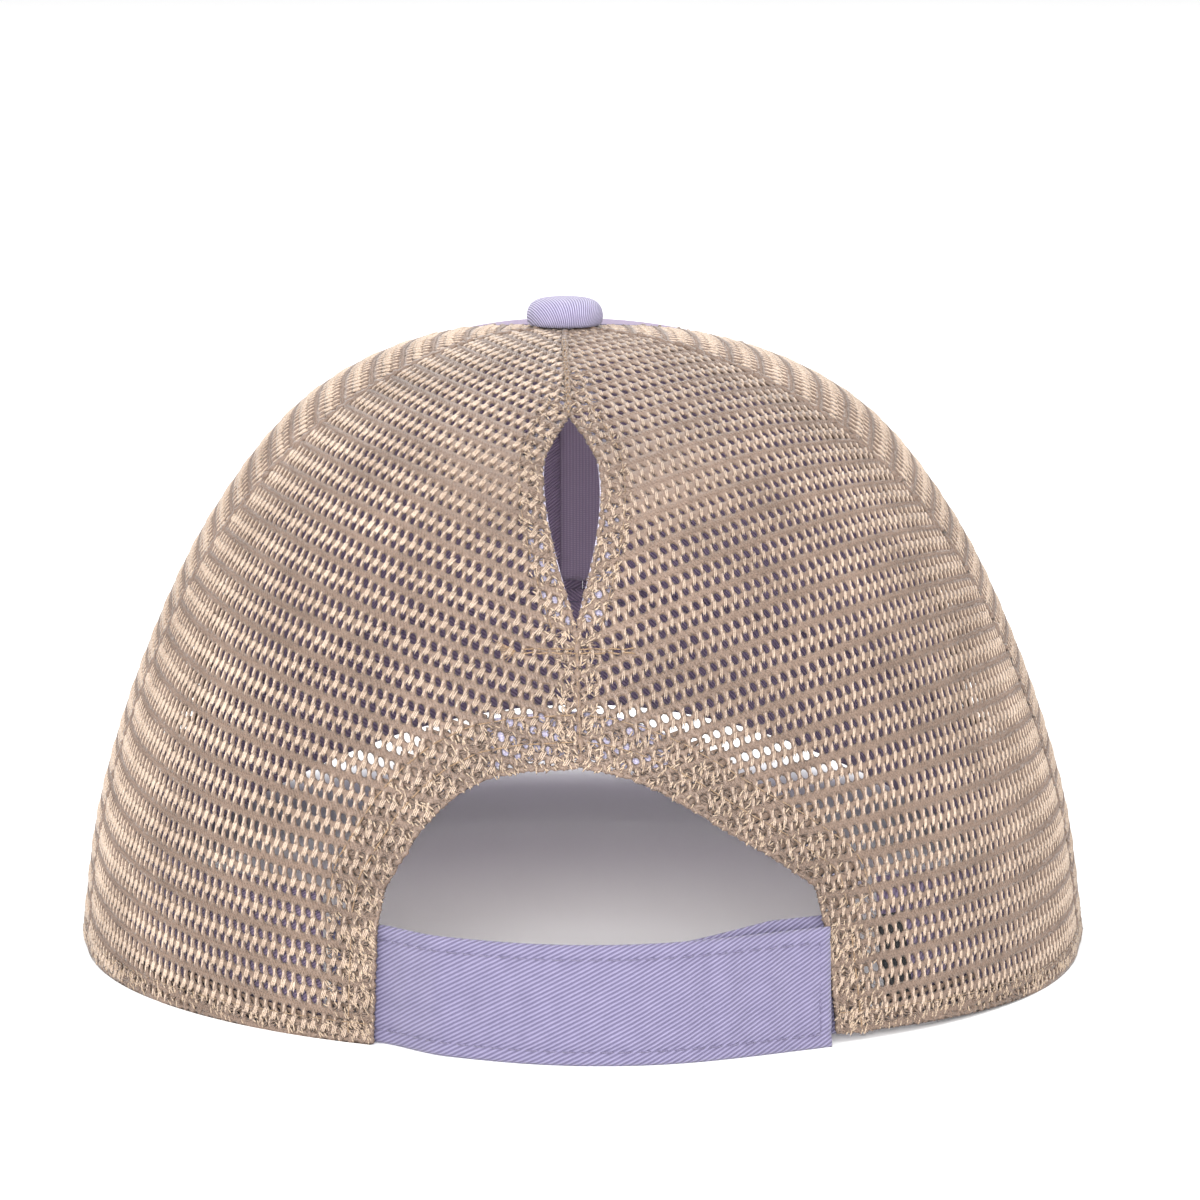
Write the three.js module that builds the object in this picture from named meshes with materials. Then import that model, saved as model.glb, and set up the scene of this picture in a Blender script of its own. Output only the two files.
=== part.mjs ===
// Ponytail baseball cap: six gores, visor, covered button, sweatband, back slit, back arch and strap.
// Millimetres, +Z up. The visor points along -Y and the back arch along +Y.
import * as THREE from 'three';

// Crown
const CROWN_HALF_WIDTH = 85.6;
const CROWN_HEIGHT = 104.5;
const BACK_REACH = 95;
const FRONT_REACH = 99;
const FRONT_RISE = 23.5;
const RIM_RISE_POWER = 4.5;
const CORNER_LIFT = 2.6;
const CORNER_LIFT_END = 60;
const BUTTON_OFFSET = 3;
const BUTTON_OFFSET_POWER = 16;
const BACK_SEAM_OFFSET = 3;
const GORE_PUFF = 1.1;
const FRONT_SEAM = 120;
const TOP_TURN = 1.7;
const BACK_TOP_TURNS = [TOP_TURN, 6, 12, 18];
const BACK_SPLIT = 33;
const BACK_EDGE_COLUMNS = 4;
const BACK_PLAIN_COLUMNS = 5;

// Cloth layers, measured inward from the outer face of the crown
const NET_WALL = 1.2;
const FRONT_WALL = 1.8;
const LAYER_GAP = 0.3;
const SEAM_GAP = 0.6;
const TAPE_WALL = 1;
const TAPE_GAP = 0.8;

// Back slit, the short seam below it, and the arch
const SLIT_DROP = 10;
const SLIT_LENGTH = 31;
const SLIT_TOP = CROWN_HEIGHT - SLIT_DROP;
const SLIT_BOTTOM = SLIT_TOP - SLIT_LENGTH;
const SLIT_WIDTH = 10;
const SLIT_FULLNESS = 0.6;
const SLIT_SHARES = [0, 0.06, 0.15, 0.3, 0.45, 0.6, 0.75, 0.9, 1];
const SLIT_TAPE_WIDTH = 4.5;
const BACK_SEAM_SHARES = [0.333, 0.667];
const ARCH_HEIGHT = 44;
const ARCH_LEFT = 36.2;
const ARCH_RIGHT = 37.4;
const ARCH_TAPE_WIDTH = 8;

// Visor
const VISOR_THICKNESS = 3;
const VISOR_HALF_ANGLE = 61;
const VISOR_CREST = 19;
const VISOR_LENGTH = 70;
const VISOR_HALF_WIDTH = 82;
const VISOR_EDGE_DROP = 1;

// Sweatband, which starts a way outside the arch on each side
const SWEATBAND_HEIGHT = 23;
const SWEATBAND_WALL = 1.2;
const SWEATBAND_LEFT_WAY = 9;
const SWEATBAND_RIGHT_WAY = 10.5;

// Strap and its hook-and-loop tapes
const STRAP_WIDTH = 18.5;
const ARCH_TAPE_RISE = 3;
const STRAP_WALL = 1.2;
const STRAP_BOW = 5;
const STRAP_BOW_ANGLE = 24;
const FASTENER_WALL = 0.8;
const STRAP_LEFT_END = 29.5;
const STRAP_TUCK_START = 24.4;
const STRAP_TUCK_LENGTH = 9;
const STRAP_FREE_END = 25.2;
const INNER_STRAP_RISE = 1;
const INNER_STRAP_END = 30;
const INNER_STRAP_TIP = 8;
const FASTENER_MARGIN = 2.2;
const FASTENER_FROM = -22;
const FASTENER_TO = 3;

// Covered button
const BUTTON_RADIUS = 6.5;
const BUTTON_HEIGHT = 4.8;
const BUTTON_RIM = 0.6;
const BUTTON_TURN_UNDER = 0.5;
const BUTTON_FULLNESS = 0.6;
const SHANK_RADIUS = 1.6;
const SHANK_LENGTH = 3.2;

// Seam tapes
const SEAM_TAPE_WIDTH = 10;
const SEAM_TAPE_TOP_TURN = 8.5;
const SEAM_TAPE_END = 25;

// Crown sections as shares of its reach and height, a row for each turn down from the pole
const TURN_STEP = 15;
const PROFILE = [
  { sideOut: 0, sideUp: 1, backOut: 0, backUp: 1, frontOut: 0, frontUp: 1 },
  { sideOut: 0.298, sideUp: 0.974, backOut: 0.268, backUp: 0.97, frontOut: 0.29, frontUp: 0.993 },
  { sideOut: 0.55, sideUp: 0.873, backOut: 0.517, backUp: 0.88, frontOut: 0.56, frontUp: 0.948 },
  { sideOut: 0.735, sideUp: 0.688, backOut: 0.722, backUp: 0.733, frontOut: 0.775, frontUp: 0.8 },
  { sideOut: 0.868, sideUp: 0.462, backOut: 0.87, backUp: 0.525, frontOut: 0.898, frontUp: 0.555 },
  { sideOut: 0.96, sideUp: 0.225, backOut: 0.958, backUp: 0.272, frontOut: 0.966, frontUp: 0.285 },
  { sideOut: 1, sideUp: 0, backOut: 1, backUp: 0, frontOut: 1, frontUp: 0 },
];

// Azimuth of the side seam and share of the back seam's sideways swing at the same turns
const SEAMS = [
  { sideSeam: 60, swing: 0 },
  { sideSeam: 60, swing: 0.3 },
  { sideSeam: 64, swing: 0.567 },
  { sideSeam: 73, swing: 0.433 },
  { sideSeam: 78, swing: 0.233 },
  { sideSeam: 80, swing: -0.2 },
  { sideSeam: 80, swing: -1 },
];

// Arch outline: shares of its height and of its half widths left and right of the centre back
const ARCH_SHARES = [
  { height: 1, left: 0, right: 0 },
  { height: 0.989, left: 0.249, right: 0.094 },
  { height: 0.964, left: 0.401, right: 0.201 },
  { height: 0.916, left: 0.519, right: 0.334 },
  { height: 0.848, left: 0.624, right: 0.468 },
  { height: 0.761, left: 0.724, right: 0.62 },
  { height: 0.666, left: 0.801, right: 0.797 },
  { height: 0.557, left: 0.89, right: 0.963 },
  { height: 0.409, left: 0.939, right: 0.989 },
  { height: 0.205, left: 0.972, right: 0.995 },
  { height: 0, left: 1, right: 1 },
];
const ARCH = ARCH_SHARES.map((row) => ({
  height: row.height * ARCH_HEIGHT,
  left: row.left * ARCH_LEFT,
  right: row.right * ARCH_RIGHT,
}));

// Outer edge of the visor from the tip to the corner, as shares of its half width and its reach
const VISOR_EDGE = [
  { side: 0, ahead: 1 },
  { side: 0.305, ahead: 0.988 },
  { side: 0.585, ahead: 0.938 },
  { side: 0.805, ahead: 0.843 },
  { side: 0.939, ahead: 0.716 },
  { side: 1, ahead: 0.574 },
  { side: 0.99, ahead: 0.432 },
  { side: 0.934, ahead: 0.308 },
];

const MATERIALS = {
  net: new THREE.MeshStandardMaterial({ color: 0xbea582, roughness: 0.55, metalness: 0 }),
  twill: new THREE.MeshStandardMaterial({ color: 0xa99cd0, roughness: 0.85, metalness: 0 }),
  band: new THREE.MeshStandardMaterial({ color: 0x9b8ec2, roughness: 0.9, metalness: 0 }),
  tape: new THREE.MeshStandardMaterial({ color: 0xd9d3e6, roughness: 0.8, metalness: 0 }),
  fastener: new THREE.MeshStandardMaterial({ color: 0x1d1c21, roughness: 0.95, metalness: 0 }),
};

// Steps of the searches for a turn, an azimuth and a seam crossing
const HALVINGS = 28;
const WIDEST_SEARCH = 80;
const SEAM_GUESS = 60;
const SEAM_STEPS = 6;

const cap = new THREE.Group();

function addPiece(name, material, geometry) {
  const mesh = new THREE.Mesh(geometry, MATERIALS[material]);
  mesh.name = name;
  cap.add(mesh);
}

const radians = THREE.MathUtils.degToRad;
const degrees = THREE.MathUtils.radToDeg;
const lerp = THREE.MathUtils.lerp;

function smoothRow(before, from, to, after, share) {
  const slopeFrom = (to - before) / 2;
  const slopeTo = (after - from) / 2;
  const lift = 3 * (to - from) - 2 * slopeFrom - slopeTo;
  const turnBack = 2 * (from - to) + slopeFrom + slopeTo;
  return from + share * (slopeFrom + share * (lift + share * turnBack));
}

// One column of a table of turns, mirrored past the pole and carried on past the rim
function atTurn(table, column, turn) {
  const last = table.length - 1;
  const mirror = column.endsWith('Out') ? -1 : 1;
  const row = (k) => {
    if (k < 0) return mirror * table[-k][column];
    if (k > last) return 2 * table[last][column] - table[2 * last - k][column];
    return table[k][column];
  };
  const place = turn / TURN_STEP;
  const k = Math.min(Math.floor(place), last - 1);
  return smoothRow(row(k - 1), row(k), row(k + 1), row(k + 2), place - k);
}

// Azimuth of a seam counted from the centre back: back seam 0, side seam 1, front seams 2 and 3
function seamAzimuth(seam, turn) {
  return [0, atTurn(SEAMS, 'sideSeam', turn), FRONT_SEAM, 180][seam];
}

// Share of the full puff that a gore has at an azimuth: none on its seams, all in its middle
function puffShare(azimuth, turn) {
  const folded = Math.abs(THREE.MathUtils.euclideanModulo(azimuth + 180, 360) - 180);
  const seam = folded < seamAzimuth(1, turn) ? 0 : folded < seamAzimuth(2, turn) ? 1 : 2;
  const from = seamAzimuth(seam, turn);
  const share = (folded - from) / (seamAzimuth(seam + 1, turn) - from);
  return Math.sin(Math.PI * share) * Math.sin(radians(turn));
}

// Point of the crown at an azimuth from the centre back, a turn from the pole and a depth into the cloth
function crownPoint(azimuth, turn, depth = 0) {
  const sideways = Math.sin(radians(azimuth));
  const backward = Math.cos(radians(azimuth));
  const end = backward > 0 ? 'back' : 'front';
  const section = (from, what) => atTurn(PROFILE, from + what, turn);
  const blend = (what) => lerp(section(end, what), section('side', what), sideways ** 2);
  const inset = depth - GORE_PUFF * puffShare(azimuth, turn);
  const reach = blend('Out');
  const height = (CROWN_HEIGHT - inset) * blend('Up');
  const length = (backward > 0 ? BACK_REACH : FRONT_REACH) - inset;
  const width = CROWN_HALF_WIDTH - inset;
  const swing = BACK_SEAM_OFFSET * atTurn(SEAMS, 'swing', turn) * Math.max(0, backward) ** 2;
  const drift = BUTTON_OFFSET * (height / CROWN_HEIGHT) ** BUTTON_OFFSET_POWER;
  return new THREE.Vector3(width * sideways * reach + swing + drift, length * backward * reach, height);
}

function turnAtHeight(azimuth, height, depth = 0) {
  let above = 0;
  let below = 90;
  for (let step = 0; step < HALVINGS; step += 1) {
    const middle = (above + below) / 2;
    if (crownPoint(azimuth, middle, depth).z > height) above = middle;
    else below = middle;
  }
  return (above + below) / 2;
}

function rimHeight(azimuth) {
  const rise = FRONT_RISE * ((1 - Math.cos(radians(azimuth))) / 2) ** RIM_RISE_POWER;
  const lifted = THREE.MathUtils.euclideanModulo(-azimuth, 360);
  return rise + (lifted < CORNER_LIFT_END ? CORNER_LIFT * (1 - lifted / CORNER_LIFT_END) : 0);
}

function crownAtHeight(azimuth, height, depth) {
  const point = crownPoint(azimuth, turnAtHeight(azimuth, height, depth), depth);
  point.z = height;
  return point;
}

// Azimuth on the back half where the crown is a given distance to the side of the back seam
function azimuthAtSide(side, height, depth = 0) {
  const width = (azimuth) => crownAtHeight(azimuth, height, depth).x - crownAtHeight(0, height, depth).x;
  let near = 0;
  let far = WIDEST_SEARCH * Math.sign(side);
  for (let step = 0; step < HALVINGS; step += 1) {
    const middle = (near + far) / 2;
    if (Math.abs(width(middle)) < Math.abs(side)) near = middle;
    else far = middle;
  }
  return (near + far) / 2;
}

function rowHalfWidth(table, height, column) {
  const k = Math.max(1, table.findIndex((row) => row.height <= height));
  const share = (table[k - 1].height - height) / (table[k - 1].height - table[k].height);
  return lerp(table[k - 1][column], table[k][column], Math.max(0, share));
}

function slitHalfWidth(height) {
  const share = (SLIT_TOP - height) / (SLIT_TOP - SLIT_BOTTOM);
  return SLIT_WIDTH / 2 * Math.sin(Math.PI * THREE.MathUtils.clamp(share, 0, 1) ** SLIT_FULLNESS);
}

// Distance from the back seam to the edge of the cloth: seam, slit or arch
function backEdge(height, side) {
  const arch = height < ARCH_HEIGHT ? rowHalfWidth(ARCH, height, side > 0 ? 'left' : 'right') : 0;
  const slit = height > SLIT_BOTTOM && height < SLIT_TOP ? slitHalfWidth(height) : 0;
  return Math.max(SEAM_GAP / 2, arch, slit);
}

// Closed solid of a cloth sheet: outer and inner skins on one grid, joined round the four edges
function sheet(columns, rows, outer, inner) {
  const positions = [];
  for (const skin of [outer, inner]) {
    for (let row = 0; row <= rows; row += 1) {
      for (let column = 0; column <= columns; column += 1) positions.push(...skin(column, row).toArray());
    }
  }
  const skinSize = (columns + 1) * (rows + 1);
  const at = (column, row, skin) => skin * skinSize + row * (columns + 1) + column;
  const index = [];
  const quad = (a, b, c, d) => index.push(a, b, c, a, c, d);
  for (let row = 0; row < rows; row += 1) {
    for (let column = 0; column < columns; column += 1) {
      quad(at(column, row, 0), at(column, row + 1, 0), at(column + 1, row + 1, 0), at(column + 1, row, 0));
      quad(at(column, row, 1), at(column + 1, row, 1), at(column + 1, row + 1, 1), at(column, row + 1, 1));
    }
    quad(at(0, row, 0), at(0, row, 1), at(0, row + 1, 1), at(0, row + 1, 0));
    quad(at(columns, row, 0), at(columns, row + 1, 0), at(columns, row + 1, 1), at(columns, row, 1));
  }
  for (let column = 0; column < columns; column += 1) {
    quad(at(column, 0, 0), at(column + 1, 0, 0), at(column + 1, 0, 1), at(column, 0, 1));
    quad(at(column, rows, 0), at(column, rows, 1), at(column + 1, rows, 1), at(column + 1, rows, 0));
  }
  const geometry = new THREE.BufferGeometry();
  geometry.setAttribute('position', new THREE.Float32BufferAttribute(positions, 3));
  geometry.setIndex(signedVolume(positions, index) < 0 ? index.reverse() : index);
  return geometry;
}

function signedVolume(positions, index) {
  const corner = (k) => new THREE.Vector3().fromArray(positions, 3 * k);
  let sum = 0;
  for (let k = 0; k < index.length; k += 3) {
    sum += corner(index[k]).dot(corner(index[k + 1]).cross(corner(index[k + 2])));
  }
  return sum;
}

// Turn at which a seam passes a height
function seamTurn(side, seam, height, depth = 0) {
  let turn = SEAM_GUESS;
  for (let step = 0; step < SEAM_STEPS; step += 1) {
    turn = turnAtHeight(side * seamAzimuth(seam, turn), height, depth);
  }
  return turn;
}

// Angle that half a width takes at a turn
function spreadAngle(width, azimuth, turn) {
  const point = crownPoint(azimuth, turn);
  const hub = crownPoint(azimuth, 0);
  return degrees(Math.asin(width / 2 / Math.hypot(point.x - hub.x, point.y - hub.y)));
}

// Side or front gore between two neighbouring seams
function gorePanel(side, seam, wall, columns, rows) {
  const skin = (depth) => (column, row) => {
    const between = (turn, gap) => side
      * lerp(seamAzimuth(seam, turn) + gap, seamAzimuth(seam + 1, turn) - gap, column / columns);
    const foot = between(90, 0);
    const turn = lerp(TOP_TURN, turnAtHeight(foot, rimHeight(foot)), row / rows);
    return crownPoint(between(turn, spreadAngle(SEAM_GAP, between(turn, 0), turn)), turn, depth);
  };
  return sheet(columns, rows, skin(0), skin(wall));
}

// Back gore: rows follow the slit, the short seam and the arch, columns past the split are plain meridians
function backPanel(side) {
  const columns = BACK_EDGE_COLUMNS + BACK_PLAIN_COLUMNS;
  const slitHeights = SLIT_SHARES.map((share) => lerp(SLIT_TOP, SLIT_BOTTOM, share));
  const seamHeights = BACK_SEAM_SHARES.map((share) => lerp(SLIT_BOTTOM, ARCH_HEIGHT, share));
  const heights = [...slitHeights, ...seamHeights, ...ARCH.map((row) => row.height)];
  const spread = (inner, outer, column) => (column < BACK_EDGE_COLUMNS
    ? lerp(inner, side * BACK_SPLIT, column / BACK_EDGE_COLUMNS)
    : lerp(side * BACK_SPLIT, outer, (column - BACK_EDGE_COLUMNS) / BACK_PLAIN_COLUMNS));
  const skin = (depth) => (column, row) => {
    if (row < BACK_TOP_TURNS.length) {
      const turn = BACK_TOP_TURNS[row];
      const gap = spreadAngle(SEAM_GAP, side * BACK_SPLIT, turn);
      return crownPoint(spread(side * gap, side * (seamAzimuth(1, turn) - gap), column), turn, depth);
    }
    const height = heights[row - BACK_TOP_TURNS.length];
    const inner = azimuthAtSide(side * backEdge(height, side), height);
    const turn = seamTurn(side, 1, height);
    const outer = side * (seamAzimuth(1, turn) - spreadAngle(SEAM_GAP, side * seamAzimuth(1, turn), turn));
    const azimuth = spread(inner, outer, column);
    return crownPoint(azimuth, turnAtHeight(azimuth, Math.max(height, rimHeight(azimuth))), depth);
  };
  return sheet(columns, BACK_TOP_TURNS.length + heights.length - 1, skin(0), skin(NET_WALL));
}

// Strip laid along a seam on the inside of the crown
function seamTape(side, seam, lastHeight, wall) {
  const columns = 2;
  const rows = 12;
  const skin = (depth) => (column, row) => {
    const turn = lerp(SEAM_TAPE_TOP_TURN, seamTurn(side, seam, lastHeight, depth), row / rows);
    const azimuth = side * seamAzimuth(seam, turn);
    const spread = spreadAngle(SEAM_TAPE_WIDTH, azimuth, turn);
    return crownPoint(azimuth + lerp(-spread, spread, column / columns), turn, depth);
  };
  return sheet(columns, rows, skin(wall + TAPE_GAP), skin(wall + TAPE_GAP + TAPE_WALL));
}

function slitTape(side) {
  const rows = 10;
  const skin = (depth) => (column, row) => {
    const height = lerp(SLIT_TOP - 1, SLIT_BOTTOM + 1, row / rows);
    const edge = Math.max(SEAM_GAP, slitHalfWidth(height) - LAYER_GAP);
    const azimuth = azimuthAtSide(side * (edge + column * SLIT_TAPE_WIDTH), height, depth);
    return crownAtHeight(azimuth, height, depth);
  };
  return sheet(1, rows, skin(NET_WALL + TAPE_GAP), skin(NET_WALL + TAPE_GAP + TAPE_WALL));
}

// Tape inside the arch hem, from the top of the strap on one side over to the other
function archTape() {
  const columns = 26;
  const start = STRAP_WIDTH + ARCH_TAPE_RISE;
  const rowsAbove = ARCH.filter((row) => row.height > start);
  const flat = (side, column) => (row) => new THREE.Vector3(side * row[column], row.height, 0);
  const foot = (side, column) => {
    const halfWidth = rowHalfWidth(ARCH, start, column);
    return new THREE.Vector3(side * halfWidth, start, 0);
  };
  const outline = new THREE.CatmullRomCurve3([
    foot(1, 'left'),
    ...rowsAbove.slice(1).reverse().map(flat(1, 'left')),
    ...rowsAbove.map(flat(-1, 'right')),
    foot(-1, 'right'),
  ], false, 'centripetal');
  const skin = (depth) => (column, row) => {
    const share = column / columns;
    const edge = outline.getPointAt(share);
    const along = outline.getTangentAt(share);
    const side = edge.x + along.y * row * ARCH_TAPE_WIDTH;
    const height = edge.y - along.x * row * ARCH_TAPE_WIDTH;
    return crownAtHeight(azimuthAtSide(side, height, depth), height, depth);
  };
  return sheet(columns, 1, skin(NET_WALL + TAPE_GAP), skin(NET_WALL + TAPE_GAP + TAPE_WALL));
}

function sweatband() {
  const columns = 48;
  const start = azimuthAtSide(ARCH_LEFT + SWEATBAND_LEFT_WAY, 0);
  const end = 360 + azimuthAtSide(-ARCH_RIGHT - SWEATBAND_RIGHT_WAY, 0);
  const skin = (depth) => (column, row) => {
    const azimuth = lerp(start, end, column / columns);
    const height = rimHeight(azimuth) + lerp(LAYER_GAP, SWEATBAND_HEIGHT, row / 2);
    return crownAtHeight(azimuth, height, depth);
  };
  return sheet(columns, 2, skin(FRONT_WALL + LAYER_GAP), skin(FRONT_WALL + LAYER_GAP + SWEATBAND_WALL));
}

function visorEdge() {
  const reach = FRONT_REACH + VISOR_LENGTH;
  const half = VISOR_EDGE.map((row) => new THREE.Vector3(row.side * VISOR_HALF_WIDTH, -row.ahead * reach, 0));
  const mirrored = half.slice(1).map((point) => new THREE.Vector3(-point.x, point.y, 0));
  return new THREE.CatmullRomCurve3([...half.reverse(), ...mirrored], false, 'centripetal');
}

// The visor starts on the front rim and arches over to an edge that touches down at both sides
function visor() {
  const columns = 30;
  const rows = 5;
  const edge = visorEdge();
  const skin = (lift) => (column, row) => {
    const share = column / columns;
    const azimuth = 180 + lerp(-VISOR_HALF_ANGLE, VISOR_HALF_ANGLE, share);
    const rim = crownAtHeight(azimuth, rimHeight(azimuth), -LAYER_GAP);
    const tip = edge.getPointAt(share);
    tip.z = VISOR_CREST * (1 - Math.min(1, Math.abs(tip.x) / VISOR_HALF_WIDTH) ** 2);
    rim.z = Math.max(0, rim.z - VISOR_EDGE_DROP);
    const point = rim.lerp(tip, row / rows);
    point.z += lift;
    return point;
  };
  return sheet(columns, rows, skin(VISOR_THICKNESS), skin(0));
}

// Strap band on the crown's back, its depth given along its length by azimuth
function strapBand(from, to, columns, low, high, wall, depthAt) {
  const skin = (extra) => (column, row) => {
    const azimuth = lerp(from, to, column / columns);
    return crownAtHeight(azimuth, lerp(low, high, row / 2), depthAt(azimuth) + extra);
  };
  return sheet(columns, 2, skin(0), skin(wall));
}

const INNER_STRAP_DEPTH = NET_WALL + LAYER_GAP;
const LOOP_DEPTH = INNER_STRAP_DEPTH - LAYER_GAP - FASTENER_WALL;
const HOOK_DEPTH = LOOP_DEPTH - LAYER_GAP - FASTENER_WALL;
const OUTER_STRAP_DEPTH = HOOK_DEPTH - LAYER_GAP - STRAP_WALL;

// Depth that a strap layer loses where the fastened strap bows out behind the arch
function strapBow(azimuth) {
  return STRAP_BOW * Math.cos(radians(90 * Math.min(1, Math.abs(azimuth) / STRAP_BOW_ANGLE))) ** 2;
}

// The outer strap lies over the fastener and tucks under the left net panel
function outerStrapDepth(azimuth) {
  const tuck = THREE.MathUtils.smoothstep(azimuth, STRAP_TUCK_START - STRAP_TUCK_LENGTH, STRAP_TUCK_START);
  return lerp(OUTER_STRAP_DEPTH, INNER_STRAP_DEPTH, tuck) - strapBow(azimuth);
}

function fastener(depth) {
  return strapBand(FASTENER_FROM, FASTENER_TO, 8, FASTENER_MARGIN, STRAP_WIDTH - FASTENER_MARGIN,
    FASTENER_WALL, (azimuth) => depth - strapBow(azimuth));
}

function button() {
  const top = CROWN_HEIGHT + LAYER_GAP;
  const profile = [
    new THREE.Vector2(0, top - SHANK_LENGTH),
    new THREE.Vector2(SHANK_RADIUS, top - SHANK_LENGTH),
    new THREE.Vector2(SHANK_RADIUS, top),
    new THREE.Vector2(BUTTON_RADIUS - BUTTON_TURN_UNDER, top),
  ];
  const domeSteps = 7;
  for (let step = 0; step <= domeSteps; step += 1) {
    const angle = Math.PI / 2 * step / domeSteps;
    const radius = step === domeSteps ? 0 : BUTTON_RADIUS * Math.cos(angle) ** BUTTON_FULLNESS;
    const height = BUTTON_RIM + (BUTTON_HEIGHT - BUTTON_RIM) * Math.sin(angle);
    profile.push(new THREE.Vector2(radius, top + height));
  }
  const geometry = new THREE.LatheGeometry(profile, 28);
  geometry.rotateX(Math.PI / 2);
  geometry.translate(BUTTON_OFFSET, 0, 0);
  return geometry;
}

for (const [name, side] of [['left', 1], ['right', -1]]) {
  addPiece(`back_panel_${name}`, 'net', backPanel(side));
  addPiece(`side_panel_${name}`, 'net', gorePanel(side, 1, NET_WALL, 5, 22));
  addPiece(`front_panel_${name}`, 'twill', gorePanel(side, 2, FRONT_WALL, 8, 14));
  addPiece(`seam_tape_${name}`, 'tape', seamTape(side, 1, SEAM_TAPE_END, NET_WALL));
  addPiece(`slit_tape_${name}`, 'tape', slitTape(side));
}
addPiece('front_seam_tape', 'tape', seamTape(1, 3, FRONT_RISE + SEAM_TAPE_END, FRONT_WALL));
addPiece('top_seam_tape', 'tape', seamTape(1, 0, SLIT_TOP + SEAM_GAP, NET_WALL));
addPiece('arch_tape', 'tape', archTape());

addPiece('visor', 'twill', visor());
addPiece('button', 'twill', button());
addPiece('sweatband', 'band', sweatband());

addPiece('strap_outer', 'twill', strapBand(-STRAP_FREE_END, STRAP_LEFT_END, 24, 0, STRAP_WIDTH,
  STRAP_WALL, outerStrapDepth));
addPiece('strap_inner', 'twill', strapBand(-INNER_STRAP_END, INNER_STRAP_TIP, 14, INNER_STRAP_RISE,
  STRAP_WIDTH + INNER_STRAP_RISE, STRAP_WALL, (azimuth) => INNER_STRAP_DEPTH - strapBow(azimuth)));
addPiece('loop_tape', 'fastener', fastener(LOOP_DEPTH));
addPiece('hook_tape', 'fastener', fastener(HOOK_DEPTH));

// The origin is the middle of the footprint, on the surface that the cap rests on
const box = new THREE.Box3().setFromObject(cap);
const middle = box.getCenter(new THREE.Vector3());
cap.position.set(-middle.x, -middle.y, -box.min.z);

export default cap;
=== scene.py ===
"""Ponytail baseball cap seen from behind: net back and sides, twill front, visor, button and strap."""
import math

import bpy
import numpy as np
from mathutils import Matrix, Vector


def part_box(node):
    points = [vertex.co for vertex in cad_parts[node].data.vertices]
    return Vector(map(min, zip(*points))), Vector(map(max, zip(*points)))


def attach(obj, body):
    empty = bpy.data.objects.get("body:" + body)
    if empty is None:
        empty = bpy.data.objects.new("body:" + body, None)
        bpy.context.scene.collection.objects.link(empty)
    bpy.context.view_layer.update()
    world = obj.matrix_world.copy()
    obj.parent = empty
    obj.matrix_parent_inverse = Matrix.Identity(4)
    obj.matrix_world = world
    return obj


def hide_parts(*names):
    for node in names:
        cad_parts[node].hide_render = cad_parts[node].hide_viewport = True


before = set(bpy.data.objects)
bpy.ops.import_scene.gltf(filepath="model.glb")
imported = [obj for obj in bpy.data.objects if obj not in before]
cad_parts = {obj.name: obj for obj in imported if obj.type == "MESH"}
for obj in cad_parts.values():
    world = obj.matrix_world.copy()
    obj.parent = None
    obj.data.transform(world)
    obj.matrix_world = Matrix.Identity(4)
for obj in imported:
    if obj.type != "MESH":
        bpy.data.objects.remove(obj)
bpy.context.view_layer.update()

# Crown, in millimetres and degrees, as in the part's source
CROWN_HALF_WIDTH = 85.6
CROWN_HEIGHT = 104.5
BACK_REACH = 95.0
FRONT_REACH = 99.0
FRONT_RISE = 23.5
RIM_RISE_POWER = 4.5
CORNER_LIFT = 2.6
CORNER_LIFT_END = 60.0
BUTTON_OFFSET = 3.0
BUTTON_OFFSET_POWER = 16
BACK_SEAM_OFFSET = 3.0
GORE_PUFF = 1.1
FRONT_SEAM = 120.0
TOP_TURN = 1.7
TURN_STEP = 15.0
NET_WALL = 1.2
FRONT_WALL = 1.8
LAYER_GAP = 0.3
SEAM_GAP = 0.6
TAPE_WALL = 1.0
SLIT_DROP = 10.0
SLIT_LENGTH = 31.0
SLIT_TOP = CROWN_HEIGHT - SLIT_DROP
SLIT_BOTTOM = SLIT_TOP - SLIT_LENGTH
SLIT_WIDTH = 10.0
SLIT_FULLNESS = 0.6
SLIT_TAPE_WIDTH = 4.5
ARCH_HEIGHT = 44.0
ARCH_LEFT = 36.2
ARCH_RIGHT = 37.4
ARCH_TAPE_WIDTH = 8.0
ARCH_TAPE_RISE = 3.0
VISOR_THICKNESS = 3.0
VISOR_HALF_ANGLE = 61.0
VISOR_CREST = 19.0
VISOR_LENGTH = 70.0
VISOR_HALF_WIDTH = 82.0
VISOR_EDGE_DROP = 1.0
SWEATBAND_HEIGHT = 23.0
SWEATBAND_WALL = 1.2
SWEATBAND_LEFT_WAY = 9.0
SWEATBAND_RIGHT_WAY = 10.5
STRAP_WIDTH = 18.5
STRAP_WALL = 1.2
STRAP_BOW = 5.0
STRAP_BOW_ANGLE = 24.0
STRAP_LEFT_END = 29.5
STRAP_TUCK_START = 24.4
STRAP_TUCK_LENGTH = 9.0
INNER_STRAP_RISE = 1.0
INNER_STRAP_END = 30.0
INNER_STRAP_TIP = 8.0
FASTENER_WALL = 0.8
FASTENER_MARGIN = 2.2
FASTENER_FROM = -22.0
FASTENER_TO = 3.0
BUTTON_RADIUS = 6.5
BUTTON_HEIGHT = 4.8
SEAM_TAPE_WIDTH = 10.0
SEAM_TAPE_TOP_TURN = 8.5
SEAM_TAPE_END = 25.0
INNER_STRAP_DEPTH = NET_WALL + LAYER_GAP
LOOP_DEPTH = INNER_STRAP_DEPTH - LAYER_GAP - FASTENER_WALL
HOOK_DEPTH = LOOP_DEPTH - LAYER_GAP - FASTENER_WALL
OUTER_STRAP_DEPTH = HOOK_DEPTH - LAYER_GAP - STRAP_WALL

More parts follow.
